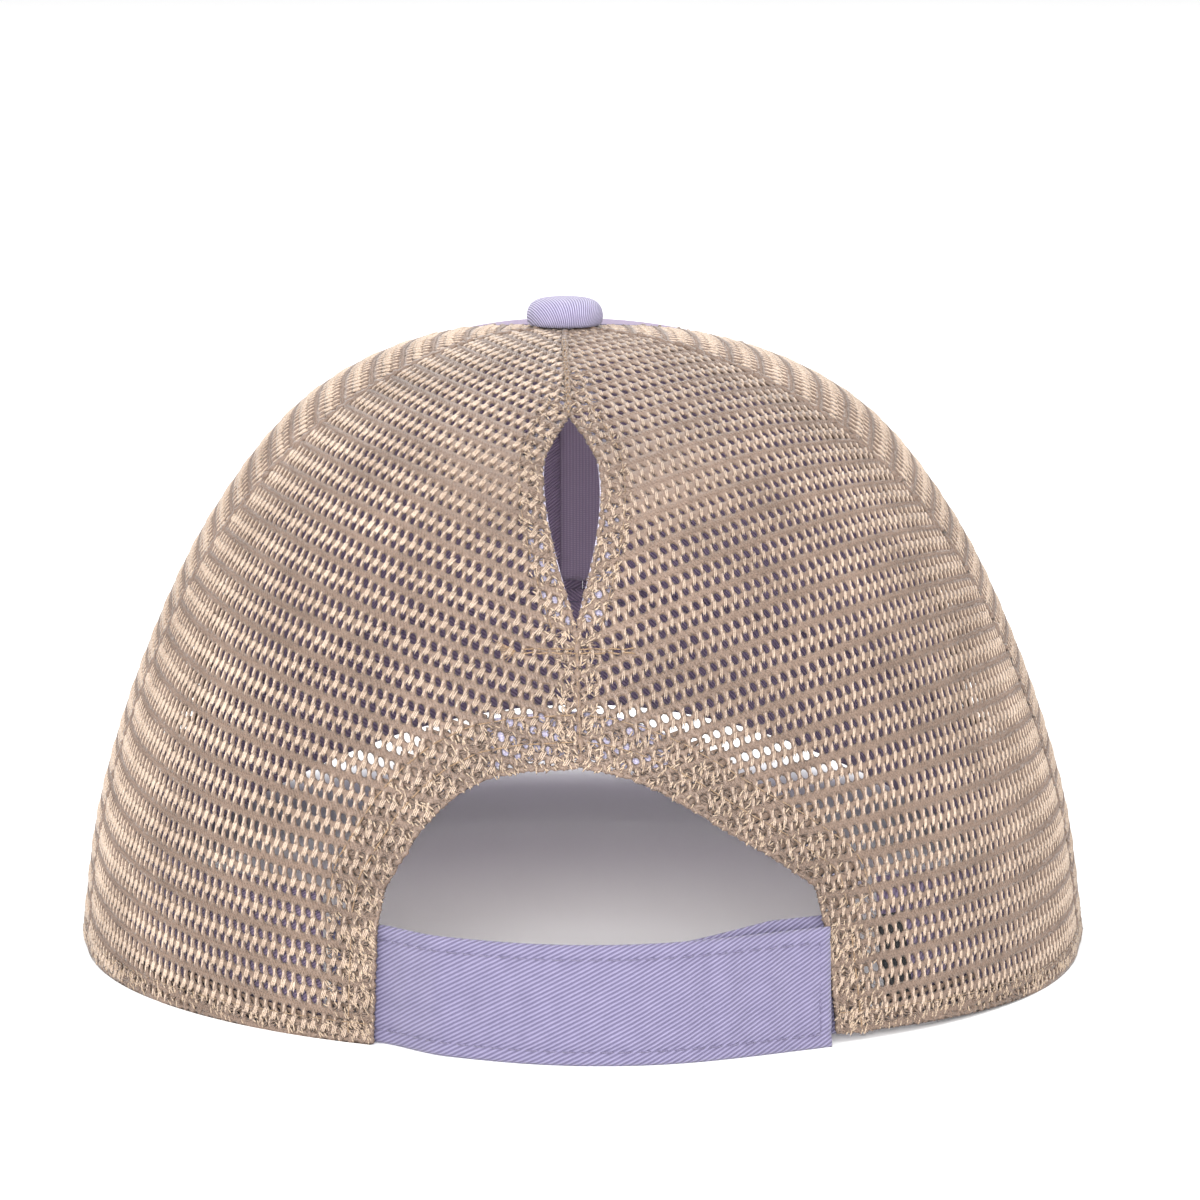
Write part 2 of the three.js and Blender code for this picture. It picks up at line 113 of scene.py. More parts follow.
# Values of the cloth, some of them other than in the part's source
TAPE_GAP = 0.2
SLIT_POINT = 0.2
SLIT_POINT_POWER = 0.45
STRAP_FREE_END = 25.0
STRAP_END_SLANT = 1.5

# Crown sections as shares of its reach and height, a value for each turn down from the pole
PROFILE = {
    "side_out": (0, 0.298, 0.55, 0.735, 0.868, 0.96, 1),
    "side_up": (1, 0.974, 0.873, 0.688, 0.462, 0.225, 0),
    "back_out": (0, 0.268, 0.517, 0.722, 0.87, 0.958, 1),
    "back_up": (1, 0.97, 0.88, 0.733, 0.525, 0.272, 0),
    "front_out": (0, 0.29, 0.56, 0.775, 0.898, 0.966, 1),
    "front_up": (1, 0.993, 0.948, 0.8, 0.555, 0.285, 0),
    "side_seam": (60, 60, 64, 73, 78, 80, 80),
    "swing": (0, 0.3, 0.567, 0.433, 0.233, -0.2, -1),
}

# Arch outline: shares of its height and of its half widths, from the top down
ARCH_RISE = (1, 0.989, 0.964, 0.916, 0.848, 0.761, 0.666, 0.557, 0.409, 0.205, 0)
ARCH_OUT = {
    1: (0, 0.249, 0.401, 0.519, 0.624, 0.724, 0.801, 0.89, 0.939, 0.972, 1),
    -1: (0, 0.094, 0.201, 0.334, 0.468, 0.62, 0.797, 0.963, 0.989, 0.995, 1),
}
ARCH_HALF = {1: ARCH_LEFT, -1: ARCH_RIGHT}

# Outer edge of the visor from tip to corner, as shares of its half width and reach
VISOR_SIDE = (0, 0.305, 0.585, 0.805, 0.939, 1, 0.99, 0.934)
VISOR_AHEAD = (1, 0.988, 0.938, 0.843, 0.716, 0.574, 0.432, 0.308)

# Net: pitches, hole size and yarn depths in millimetres
HOLE_PITCH = 1.98
ROW_PITCH = 2.71
HOLE_HALF_WIDTH = 0.56
HOLE_HALF_HEIGHT = 0.8
BAND_SHIFT = 0.13
BACK_GRAIN = 31.0
SIDE_GRAIN = 97.0

# Planes that the net's rows follow, for each turn: fall towards the centre seam, lean to the front
ROW_PLANES = {
    (1, True): ((20, 21, 22, 22, 14.5, 3.5, 2), (5, 5, 5, 5, -1, -5, -5)),
    (-1, True): ((21, 23, 25, 25, 18.5, 3, 2), (18, 22, 25, 18, 9, 0, 0)),
    (1, False): ((0, 0, 0, 0, 0, 0, 0), (0, 0, 0, 0, 0, 0, 0)),
    (-1, False): ((0, 0, 0, 0, 0, 0, 0), (0, 0, 0, 0, 0, 0, 0)),
}
CREST_DEPTH = 0.0
SHOULDER_DEPTH = 0.09
HOLE_DEPTH = 0.36
BACK_DEPTH = 0.62
HEM_LAYER_DEPTH = 0.6

LAYOUT_STEP = 1.6
LAYOUT_REACH = 88.0
HALVINGS = 26
SEED = 7

SHIFT = np.array([
    sum(c.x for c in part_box("button")) * 500 - BUTTON_OFFSET,
    sum(c.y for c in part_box("button")) * 500,
    0.0,
])
rng = np.random.default_rng(SEED)


# Crown surface

def at_turn(column, turn):
    """A profile column at turns from the pole, mirrored past the pole and carried on past the rim."""
    values = np.array(PROFILE[column], float)
    odd = -1 if column.endswith("out") else 1
    values = np.concatenate([[odd * values[1]], values, [2 * values[-1] - values[-2]]])
    place = np.asarray(turn, float) / TURN_STEP
    k = np.clip(np.floor(place).astype(int), 0, len(values) - 4)
    f = place - k
    before, start, end, after = values[k], values[k + 1], values[k + 2], values[k + 3]
    slope_start, slope_end = (end - before) / 2, (after - start) / 2
    lift = 3 * (end - start) - 2 * slope_start - slope_end
    turn_back = 2 * (start - end) + slope_start + slope_end
    return start + f * (slope_start + f * (lift + f * turn_back))


def side_seam(turn):
    return at_turn("side_seam", turn)


def puff_share(azimuth, turn):
    folded = np.abs(np.mod(azimuth + 180, 360) - 180)
    first = side_seam(turn)
    low = np.where(folded < first, 0, np.where(folded < FRONT_SEAM, first, FRONT_SEAM))
    high = np.where(folded < first, first, np.where(folded < FRONT_SEAM, FRONT_SEAM, 180.0))
    return np.sin(np.pi * (folded - low) / (high - low)) * np.sin(np.radians(turn))


def crown(azimuth, turn, depth=0.0):
    """Points of the crown at azimuths from the centre back, turns from the pole and depths inward."""
    azimuth, turn, depth = np.broadcast_arrays(*(np.asarray(x, float) for x in (azimuth, turn, depth)))
    sideways, backward = np.sin(np.radians(azimuth)), np.cos(np.radians(azimuth))

    def blend(what):
        end = np.where(backward > 0, at_turn("back_" + what, turn), at_turn("front_" + what, turn))
        return end + (at_turn("side_" + what, turn) - end) * sideways ** 2

    inset = depth - GORE_PUFF * puff_share(azimuth, turn)
    reach = blend("out")
    height = (CROWN_HEIGHT - inset) * blend("up")
    length = np.where(backward > 0, BACK_REACH, FRONT_REACH) - inset
    swing = BACK_SEAM_OFFSET * at_turn("swing", turn) * np.maximum(0, backward) ** 2
    drift = BUTTON_OFFSET * (np.maximum(height, 0) / CROWN_HEIGHT) ** BUTTON_OFFSET_POWER
    x = (CROWN_HALF_WIDTH - inset) * sideways * reach + swing + drift
    return np.stack([x, length * backward * reach, height], -1)


def turn_at_height(azimuth, height, depth=0.0):
    azimuth, height = np.broadcast_arrays(np.asarray(azimuth, float), np.asarray(height, float))
    above, below = np.zeros(azimuth.shape), np.full(azimuth.shape, 90.0)
    for _ in range(HALVINGS):
        middle = (above + below) / 2
        high = crown(azimuth, middle, depth)[..., 2] > height
        above, below = np.where(high, middle, above), np.where(high, below, middle)
    return (above + below) / 2


def crown_at_height(azimuth, height, depth=0.0):
    azimuth, height = np.broadcast_arrays(np.asarray(azimuth, float), np.asarray(height, float))
    point = crown(azimuth, turn_at_height(azimuth, height, depth), depth)
    point[..., 2] = height
    return point


def rim_height(azimuth):
    azimuth = np.asarray(azimuth, float)
    rise = FRONT_RISE * ((1 - np.cos(np.radians(azimuth))) / 2) ** RIM_RISE_POWER
    lifted = np.mod(-azimuth, 360)
    return rise + np.where(lifted < CORNER_LIFT_END, CORNER_LIFT * (1 - lifted / CORNER_LIFT_END), 0)


SEAM_HEIGHTS = np.linspace(0, CROWN_HEIGHT, 300)
SEAM_X = crown_at_height(np.zeros(300), SEAM_HEIGHTS)[:, 0]


def seam_x(height):
    return np.interp(height, SEAM_HEIGHTS, SEAM_X)


SIDE_STEP = 0.5
TABLE_HEIGHTS = np.arange(0, CROWN_HEIGHT - 1, SIDE_STEP)
TABLE_SIDES = np.arange(-80, 80 + SIDE_STEP, SIDE_STEP)


def side_table():
    """Azimuth on the back half for each height and distance to the side of the back seam."""
    azimuth = np.linspace(-89, 89, 357)
    every_azimuth, every_height = np.meshgrid(azimuth, TABLE_HEIGHTS)
    across = crown_at_height(every_azimuth, every_height)[..., 0] - seam_x(TABLE_HEIGHTS)[:, None]
    return np.array([np.interp(TABLE_SIDES, row, azimuth) for row in across])


SIDE_TABLE = side_table()


def azimuth_at_side(side, height):
    """Azimuth on the back half where the crown is a distance to the side of the back seam."""
    side, height = np.broadcast_arrays(np.asarray(side, float), np.asarray(height, float))
    row = np.clip(height / SIDE_STEP, 0, len(TABLE_HEIGHTS) - 1.001)
    column = np.clip((side - TABLE_SIDES[0]) / SIDE_STEP, 0, len(TABLE_SIDES) - 1.001)
    i, j = row.astype(int), column.astype(int)
    f, g = row - i, column - j
    low = SIDE_TABLE[i, j] + g * (SIDE_TABLE[i, j + 1] - SIDE_TABLE[i, j])
    high = SIDE_TABLE[i + 1, j] + g * (SIDE_TABLE[i + 1, j + 1] - SIDE_TABLE[i + 1, j])
    return low + f * (high - low)


def slit_half(height):
    share = np.clip((SLIT_TOP - height) / SLIT_LENGTH, 0, 1)
    taper = np.minimum(1, share / SLIT_POINT) ** SLIT_POINT_POWER
    return SLIT_WIDTH / 2 * np.sin(np.pi * share ** SLIT_FULLNESS) * taper


def arch_half(height, side):
    out = np.array(ARCH_OUT[side][::-1]) * ARCH_HALF[side]
    return np.interp(height, np.array(ARCH_RISE[::-1]) * ARCH_HEIGHT, out)


def outline(side, kind, count=160):
    """Points (distance to the side, height) down one side of the slit or arch, unsigned sideways."""
    if kind == "slit":
        height = np.linspace(SLIT_TOP, SLIT_BOTTOM, count)
        return np.stack([slit_half(height), height], -1)
    rise, out = np.array(ARCH_RISE) * ARCH_HEIGHT, np.array(ARCH_OUT[side]) * ARCH_HALF[side]
    way = np.concatenate([[0], np.cumsum(np.hypot(np.diff(rise), np.diff(out)))])
    at = np.linspace(0, way[-1], count)
    return np.stack([np.interp(at, way, out), np.interp(at, way, rise)], -1)


# Meshes

def add_mesh(name, points, faces, material, uv=None, smooth=True):
    """Mesh object from millimetre points in the crown's frame and a list of quad or triangle arrays."""
    faces = [np.asarray(f) for f in faces if len(f)]
    loops = np.concatenate([f.ravel() for f in faces]).astype(np.int32)
    sizes = np.concatenate([np.full(len(f), f.shape[1]) for f in faces]).astype(np.int32)
    used, loops = np.unique(loops, return_inverse=True)
    loops = loops.astype(np.int32).ravel()
    points = np.asarray(points, float)[used]
    mesh = bpy.data.meshes.new(name)
    mesh.vertices.add(len(points))
    mesh.vertices.foreach_set("co", ((points + SHIFT) / 1000).ravel())
    mesh.loops.add(len(loops))
    mesh.loops.foreach_set("vertex_index", loops)
    mesh.polygons.add(len(sizes))
    mesh.polygons.foreach_set("loop_start", np.concatenate([[0], np.cumsum(sizes)[:-1]]).astype(np.int32))
    mesh.polygons.foreach_set("use_smooth", np.full(len(sizes), smooth))
    mesh.update(calc_edges=True)
    if uv is not None:
        layer = mesh.uv_layers.new(name="UVMap")
        layer.data.foreach_set("uv", np.asarray(uv, float)[used][loops].ravel())
    mesh.validate()
    obj = bpy.data.objects.new(name, mesh)
    bpy.context.scene.collection.objects.link(obj)
    obj.data.materials.append(material)
    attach(obj, "root")
    return obj


def facing_out(points, faces):
    """The faces with their winding turned so that the closed body has a positive volume."""
    total = 0.0
    for face in faces:
        a = points[face[:, 0]]
        for k in range(1, face.shape[1] - 1):
            total += np.einsum("ij,ij->i", a, np.cross(points[face[:, k]], points[face[:, k + 1]])).sum()
    return faces if total > 0 else [face[:, ::-1] for face in faces]


EDGE_SHOULDER = 0.3


def slab(name, material, surface, across, down, wall, edge=0.45):
    """Closed cloth slab. surface(u, v, depth) gives points, depth counted from the outer face."""
    u, v = np.meshgrid(across, down)
    rows, columns = u.shape
    rim = np.zeros(u.shape)
    rim[1], rim[-2], rim[:, 1], rim[:, -2] = EDGE_SHOULDER, EDGE_SHOULDER, EDGE_SHOULDER, EDGE_SHOULDER
    rim[0], rim[-1], rim[:, 0], rim[:, -1] = 1, 1, 1, 1
    pinch = edge * wall * rim
    outer = surface(u, v, pinch)
    inner = surface(u, v, wall - pinch)
    points = np.concatenate([outer.reshape(-1, 3), inner.reshape(-1, 3)])
    step_u = np.linalg.norm(np.diff(outer, axis=1), axis=-1)
    step_v = np.linalg.norm(np.diff(outer, axis=0), axis=-1)
    uv_u = np.concatenate([np.zeros((rows, 1)), np.cumsum(step_u, axis=1)], axis=1)
    uv_u -= uv_u[:, columns // 2][:, None]
    uv_v = np.concatenate([np.zeros((1, columns)), np.cumsum(step_v, axis=0)], axis=0)
    uv = np.stack([uv_u, uv_v], -1).reshape(-1, 2)
    k = np.arange(rows * columns).reshape(rows, columns)
    n = rows * columns
    skin = np.stack([k[:-1, :-1], k[1:, :-1], k[1:, 1:], k[:-1, 1:]], -1).reshape(-1, 4)
    loop = np.concatenate([k[0, :-1], k[:-1, -1], k[-1, :0:-1], k[:0:-1, 0]])
    after = np.roll(loop, -1)
    wall_faces = np.stack([loop, after, after + n, loop + n], -1)
    faces = facing_out(points, [np.concatenate([skin, skin[:, ::-1] + n, wall_faces])])
    return add_mesh(name, points, faces, material, np.concatenate([uv, uv]))


def tube(points, radius, sides):
    """Points and faces of a round tube along millimetre points; radius is one value or one a point."""
    points = np.asarray(points, float)
    count = len(points)
    ahead = np.gradient(points, axis=0)
    ahead /= np.linalg.norm(ahead, axis=1)[:, None] + 1e-12
    side = np.cross(ahead, [0.31, 0.17, 0.93])
    side /= np.linalg.norm(side, axis=1)[:, None]
    up = np.cross(side, ahead)
    angle = np.linspace(0, 2 * np.pi, sides, endpoint=False)
    radius = np.broadcast_to(radius, count)[:, None, None]
    ring = np.cos(angle)[None, :, None] * side[:, None] + np.sin(angle)[None, :, None] * up[:, None]
    body = (points[:, None] + radius * ring).reshape(-1, 3)
    k = np.arange(count * sides).reshape(count, sides)
    turned = np.roll(k, -1, axis=1)
    quads = np.stack([k[:-1], turned[:-1], turned[1:], k[1:]], -1).reshape(-1, 4)
    caps = np.array([[len(body), *pair] for pair in zip(turned[0], k[0])]
                    + [[len(body) + 1, *pair] for pair in zip(k[-1], turned[-1])])
    return np.concatenate([body, points[:1], points[-1:]]), [quads, caps]


def join(parts):
    """One list of points and faces from several."""
    points, quads, triangles, start = [], [], [], 0
    for part_points, part_faces in parts:
        points.append(part_points)
        for face in part_faces:
            (quads if face.shape[1] == 4 else triangles).append(face + start)
        start += len(part_points)
    return np.concatenate(points), [np.concatenate(x) for x in (quads, triangles) if x]


SPINDLE_ALONG = np.array([-0.5, -0.24, -0.24, -0.24, 0.24, 0.24, 0.24, 0.5])
SPINDLE_ACROSS = np.array([0, -1, 0, 1, -1, 0, 1, 0])
SPINDLE_CREST = np.array([0, 0, 1, 0, 0, 1, 0, 0])
SPINDLE_TRIANGLES = np.array([[0, 1, 2], [0, 2, 3], [0, 3, 1], [7, 5, 4], [7, 6, 5], [7, 4, 6]])
SPINDLE_QUADS = np.array([[1, 4, 5, 2], [2, 5, 6, 3], [3, 6, 4, 1]])


def spindle_faces(kept):
    """Faces of the spindles at the kept places, eight points each."""
    start = 8 * np.asarray(kept)[:, None, None]
    return [(start + SPINDLE_QUADS).reshape(-1, 4), (start + SPINDLE_TRIANGLES).reshape(-1, 3)]


def loose_strands(azimuth, turn, spin, length, width, rise, depth=0.0):
    """Short strands that lie on the crown, each turned by its own spin from the level."""
    here = crown(azimuth, turn, depth)
    sideways = crown(azimuth + 0.2, turn, depth) - here
    sideways /= np.linalg.norm(sideways, axis=1)[:, None]
    outward = np.cross(sideways, crown(azimuth, turn + 0.2, depth) - here)
    outward /= np.linalg.norm(outward, axis=1)[:, None]
    down = np.cross(outward, sideways)
    along = np.cos(spin)[:, None] * sideways + np.sin(spin)[:, None] * down
    across = np.cross(outward, along)
    points = here[:, None] + (length[:, None] * SPINDLE_ALONG)[..., None] * along[:, None]
    points = points + (width * SPINDLE_ACROSS)[None, :, None] * across[:, None]
    points = points + (rise * SPINDLE_CREST - 0.06)[None, :, None] * outward[:, None]
    points = points.reshape(-1, 3)
    return points, facing_out(points, spindle_faces(np.arange(len(azimuth))))


def even(points, step):
    """Points at even steps along a polyline."""
    way = np.concatenate([[0], np.cumsum(np.linalg.norm(np.diff(points, axis=0), axis=1))])
    at = np.linspace(0, way[-1], max(3, round(way[-1] / step) + 1))
    return np.stack([np.interp(at, way, points[:, k]) for k in range(points.shape[1])], -1)


def stitches(path, pitch=3.0, length=2.3, radius=0.17):
    """A row of short thread stitches along a path of points, each a bent tube with pointed ends."""
    path = even(np.asarray(path, float), 0.25)
    way = np.arange(len(path)) * 0.25
    parts = []
    for start in np.arange(0.4, way[-1] - length, pitch):
        at = start + length * np.array([0, 0.2, 0.8, 1])
        points = np.stack([np.interp(at, way, path[:, k]) for k in range(3)], -1)
        parts.append(tube(points, radius * np.array([0.3, 1, 1, 0.3]), 3))
    return parts


# Materials

def linear(red, green, blue):
    """Linear colour from a screen colour of 0 to 255."""
    def one(c):
        c /= 255
        return c / 12.92 if c <= 0.04045 else ((c + 0.055) / 1.055) ** 2.4
    return (one(red), one(green), one(blue), 1.0)


class Shader:
    """A node material with one Principled shader."""

    def __init__(self, name, **values):
        self.material = bpy.data.materials.new(name)
        self.material.use_nodes = True
        self.nodes, self.links = self.material.node_tree.nodes, self.material.node_tree.links
        self.surface = self.nodes["Principled BSDF"]
        for socket, value in values.items():
            self.surface.inputs[socket.replace("_", " ")].default_value = value
        self.coordinates = self.nodes.new("ShaderNodeTexCoord")

    def add(self, kind, inputs=(), **settings):
        node = self.nodes.new("ShaderNode" + kind)
        for key, value in settings.items():
            setattr(node, key, value)
        for socket, value in dict(inputs).items():
            if isinstance(value, bpy.types.NodeSocket):
                self.links.new(value, node.inputs[socket])
            else:
                node.inputs[socket].default_value = value
        return node

    def noise(self, scale, detail=3.0, vector=None, roughness=0.55):
        vector = vector or self.coordinates.outputs["Object"]
        return self.add("TexNoise", {
            "Vector": vector, "Scale": scale, "Detail": detail, "Roughness": roughness}).outputs["Fac"]

    def ramp(self, factor, *stops):
        node = self.add("ValToRGB", {"Fac": factor})
        for k, (place, colour) in enumerate(stops):
            stop = node.color_ramp.elements[k] if k < 2 else node.color_ramp.elements.new(place)
            stop.position, stop.color = place, colour
        return node.outputs["Color"]

    def math(self, operation, a, b):
        return self.add("Math", {0: a, 1: b}, operation=operation).outputs[0]

    def multiply(self, colour, other, share=1.0):
        node = self.add("Mix", data_type="RGBA", blend_type="MULTIPLY")
        node.inputs[0].default_value = share
        self.links.new(colour, node.inputs[6])
        self.links.new(other, node.inputs[7])
        return node.outputs[2]

    def lines(self, pitch, angle, sharp=0.0):
        """Diagonal ribs across the flat cloth, pitch in millimetres, and a value of 0 to 1."""
        turned = self.add("Mapping", {"Vector": self.coordinates.outputs["UV"]})
        turned.inputs["Rotation"].default_value = (0, 0, math.radians(angle))
        return self.add("TexWave", {
            "Vector": turned.outputs[0], "Scale": math.pi / 10 / pitch, "Distortion": sharp,
            "Detail": 2.0, "Detail Scale": 1.4}, bands_direction="Y").outputs["Fac"]

    def finish(self, colour=None, height=None, distance=0.0002, strength=0.6, roughness=None):
        if colour is not None:
            self.links.new(colour, self.surface.inputs["Base Color"])
        if roughness is not None:
            self.links.new(roughness, self.surface.inputs["Roughness"])
        if height is not None:
            bump = self.add("Bump", {"Height": height, "Distance": distance, "Strength": strength})
            self.links.new(bump.outputs[0], self.surface.inputs["Normal"])
        return self.material


def yarn_material(name, dark, light, roughness, sheen):
    """Lustrous knit yarn: fine fibre streaks and slow changes of tone."""
    shader = Shader(name, Roughness=roughness, Sheen_Weight=sheen, Sheen_Roughness=0.4)
    fibre = shader.noise(5200, 2)
    tone = shader.noise(60, 3)
    mixed = shader.math("ADD", shader.math("MULTIPLY", fibre, 0.65), shader.math("MULTIPLY", tone, 0.35))
    colour = shader.ramp(mixed, (0.36, dark), (0.62, light))
    return shader.finish(colour, fibre, 0.00018, 0.55)


def twill_material(name, base, shade, pitch, angle, roughness=0.82, depth=0.00022):
    """Cotton twill: slanting ribs crossed by a fine weft, with uneven dye."""
    shader = Shader(name, Roughness=roughness, Sheen_Weight=0.18, Sheen_Roughness=0.5)
    ribs = shader.lines(pitch, angle, 0.5)
    weft = shader.lines(pitch * 0.42, angle - 74, 0.4)
    cloth = shader.math("ADD", shader.math("MULTIPLY", ribs, 0.86), shader.math("MULTIPLY", weft, 0.14))
    uv = shader.coordinates.outputs["UV"]
    uneven = shader.ramp(shader.noise(0.35, 4, uv), (0.3, (0.86, 0.86, 0.88, 1)), (0.7, (1, 1, 1, 1)))
    fuzz = shader.ramp(shader.noise(5.0, 3, uv), (0.3, (0.88, 0.88, 0.9, 1)), (0.7, (1, 1, 1, 1)))
    colour = shader.ramp(cloth, (0.25, shade), (0.8, base))
    colour = shader.multiply(shader.multiply(colour, uneven), fuzz)
    return shader.finish(colour, cloth, depth, 0.7)


def tape_material(name, dark, light):
    """Plain woven tape: crossed fine ribs."""
    shader = Shader(name, Roughness=0.75, Sheen_Weight=0.15)
    weave = shader.math("MULTIPLY", shader.lines(0.45, 0), shader.lines(0.6, 90))
    return shader.finish(shader.ramp(weave, (0.0, dark), (0.5, light)), weave, 0.00012, 0.6)


def pile_material(name, dark, light):
    """Hook or loop pile: dense small tufts."""
    shader = Shader(name, Roughness=0.9, Sheen_Weight=0.1)
    tufts = shader.add("TexVoronoi", {"Vector": shader.coordinates.outputs["UV"], "Scale": 2.6})
    grain = shader.noise(4.0, 4, shader.coordinates.outputs["UV"])
    height = shader.math("ADD", tufts.outputs["Distance"], grain)
    return shader.finish(shader.ramp(grain, (0.3, dark), (0.7, light)), height, 0.0004, 0.9)


def thread_material(name, dark, light):
    """Twisted sewing thread."""
    shader = Shader(name, Roughness=0.5, Sheen_Weight=0.2)
    ply = shader.noise(4200, 2)
    return shader.finish(shader.ramp(ply, (0.35, dark), (0.65, light)), ply, 0.0001, 0.5)


# The net yarn is the tan yarn's own colour. The loop yarn and the hem yarn are lighter copies of the same
# yarn: painted highlight, standing in for the sheen on the raised loops, bars and doubled hems.
NET = yarn_material("net_yarn", linear(88, 71, 60), linear(128, 107, 93), 0.45, 0.15)
LOOP_HIGHLIGHT = yarn_material("loop_yarn_painted_highlight", linear(140, 118, 100), linear(203, 182, 163), 0.36, 0.2)
HEM_HIGHLIGHT = yarn_material("hem_yarn", linear(130, 109, 89), linear(190, 168, 145), 0.38, 0.2)
TWILL = twill_material("lavender_twill", linear(132, 126, 154), linear(92, 86, 114), 0.6, 27)
BUTTON = twill_material("button_twill", linear(176, 169, 197), linear(108, 100, 130), 0.52, 74)
PANEL = twill_material("panel_twill", linear(157, 139, 167), linear(124, 107, 135), 0.6, 45)
BAND = twill_material("sweatband_twill", linear(150, 133, 158), linear(116, 100, 126), 0.6, 40, 0.88)
TAPE = tape_material("lilac_tape", linear(172, 164, 192), linear(214, 208, 224))
FRONT_TAPE = tape_material("front_tape", linear(132, 117, 142), linear(158, 143, 168))
PILE = pile_material("black_pile", linear(14, 14, 16), linear(44, 43, 48))
NET_THREAD = thread_material("tan_thread", linear(104, 80, 56), linear(148, 120, 90))
TWILL_THREAD = thread_material("lavender_thread", linear(76, 70, 98), linear(108, 101, 131))


# Net

def gore_layout(side, back):
    """Table of azimuth and turn over the way down a gore's grain line and the way across it.

    A row is the cut of the crown by a plane through its point on the grain line."""
    grain = BACK_GRAIN if back else SIDE_GRAIN
    turn = np.linspace(0, 100, 401)
    line = crown(grain, turn) if side > 0 else crown(-grain, turn) * [-1, 1, 1]
    length = np.concatenate([[0], np.cumsum(np.linalg.norm(np.diff(line, axis=0), axis=1))])
    way = np.arange(1.0, length[-1], LAYOUT_STEP)
    base = np.interp(way, length, turn)
    falls, leans = ROW_PLANES[side, back]
    steps = np.arange(len(falls)) * TURN_STEP
    fall, lean = (np.radians(np.interp(base, steps, values))[:, None] for values in (falls, leans))
    first, last = (-14, 106) if back else (34, 140)
    azimuth = np.arange(first, last + 1, 2.0)[None] + 0 * base[:, None]
    if not back:
        swing = np.radians(azimuth - grain)
        flat = np.degrees(np.arctan(np.tan(np.radians(np.minimum(base, 88.0)))[:, None] / np.cos(swing)))
        found = np.where(base[:, None] < 88, flat, base[:, None])
    else:
        normal = np.stack([-np.sin(fall), -np.cos(fall) * np.sin(lean), np.cos(fall) * np.cos(lean)], -1)
        mirror = np.array([side, 1, 1])
        through = (crown(side * grain, base) * mirror)[:, None]
        high, low = np.zeros(azimuth.shape), np.full(azimuth.shape, 104.0)
        for _ in range(HALVINGS):
            middle = (high + low) / 2
            above = ((crown(side * azimuth, middle) * mirror - through) * normal).sum(-1) > 0
            high, low = np.where(above, middle, high), np.where(above, low, middle)
        found = (high + low) / 2
    points = crown(side * azimuth, found)
    along = np.linalg.norm(np.diff(points, axis=1), axis=-1)
    along = np.concatenate([np.zeros((len(base), 1)), np.cumsum(along, axis=1)], axis=1)
    at_grain = np.array([np.interp(grain, azimuth[0], row) for row in along])
    across = np.arange(-LAYOUT_REACH, LAYOUT_REACH + 0.1, LAYOUT_STEP)
    azimuths = np.array([np.interp(across, row - zero, azimuth[0]) for row, zero in zip(along, at_grain)])
    turns = np.array([np.interp(across, row - zero, f) for row, zero, f in zip(along, at_grain, found)])
    return way, across, azimuths, turns


def lay_net(layout, way, across):
    """Unsigned azimuth and turn of net points, from their way down the grain line and across it."""
    ways, crossings, azimuths, turns = layout
    row = np.clip((way - ways[0]) / LAYOUT_STEP, 0, len(ways) - 1.001)
    column = np.clip((across - crossings[0]) / LAYOUT_STEP, 0, len(crossings) - 1.001)
    i, j = row.astype(int), column.astype(int)
    f, g = row - i, column - j

    def blend(table):
        upper = table[i, j] + g * (table[i, j + 1] - table[i, j])
        lower = table[i + 1, j] + g * (table[i + 1, j + 1] - table[i + 1, j])
        return upper + f * (lower - upper)

    return blend(azimuths), np.clip(blend(turns), 0.2, 97.0)


def nearest_on(points, line, reach=12.0):
    """Nearest points on a dense polyline and their distances, far ones only roughly."""
    low, high = line.min(0) - reach, line.max(0) + reach
    near = ((points > low) & (points < high)).all(1)
    spot, distance = np.repeat(line[:1], len(points), 0), np.full(len(points), reach)
    gap = np.hypot(points[near, 0, None] - line[:, 0], points[near, 1, None] - line[:, 1])
    k = gap.argmin(1)
    spot[near], distance[near] = line[k], gap[np.arange(len(k)), k]
    return spot, distance


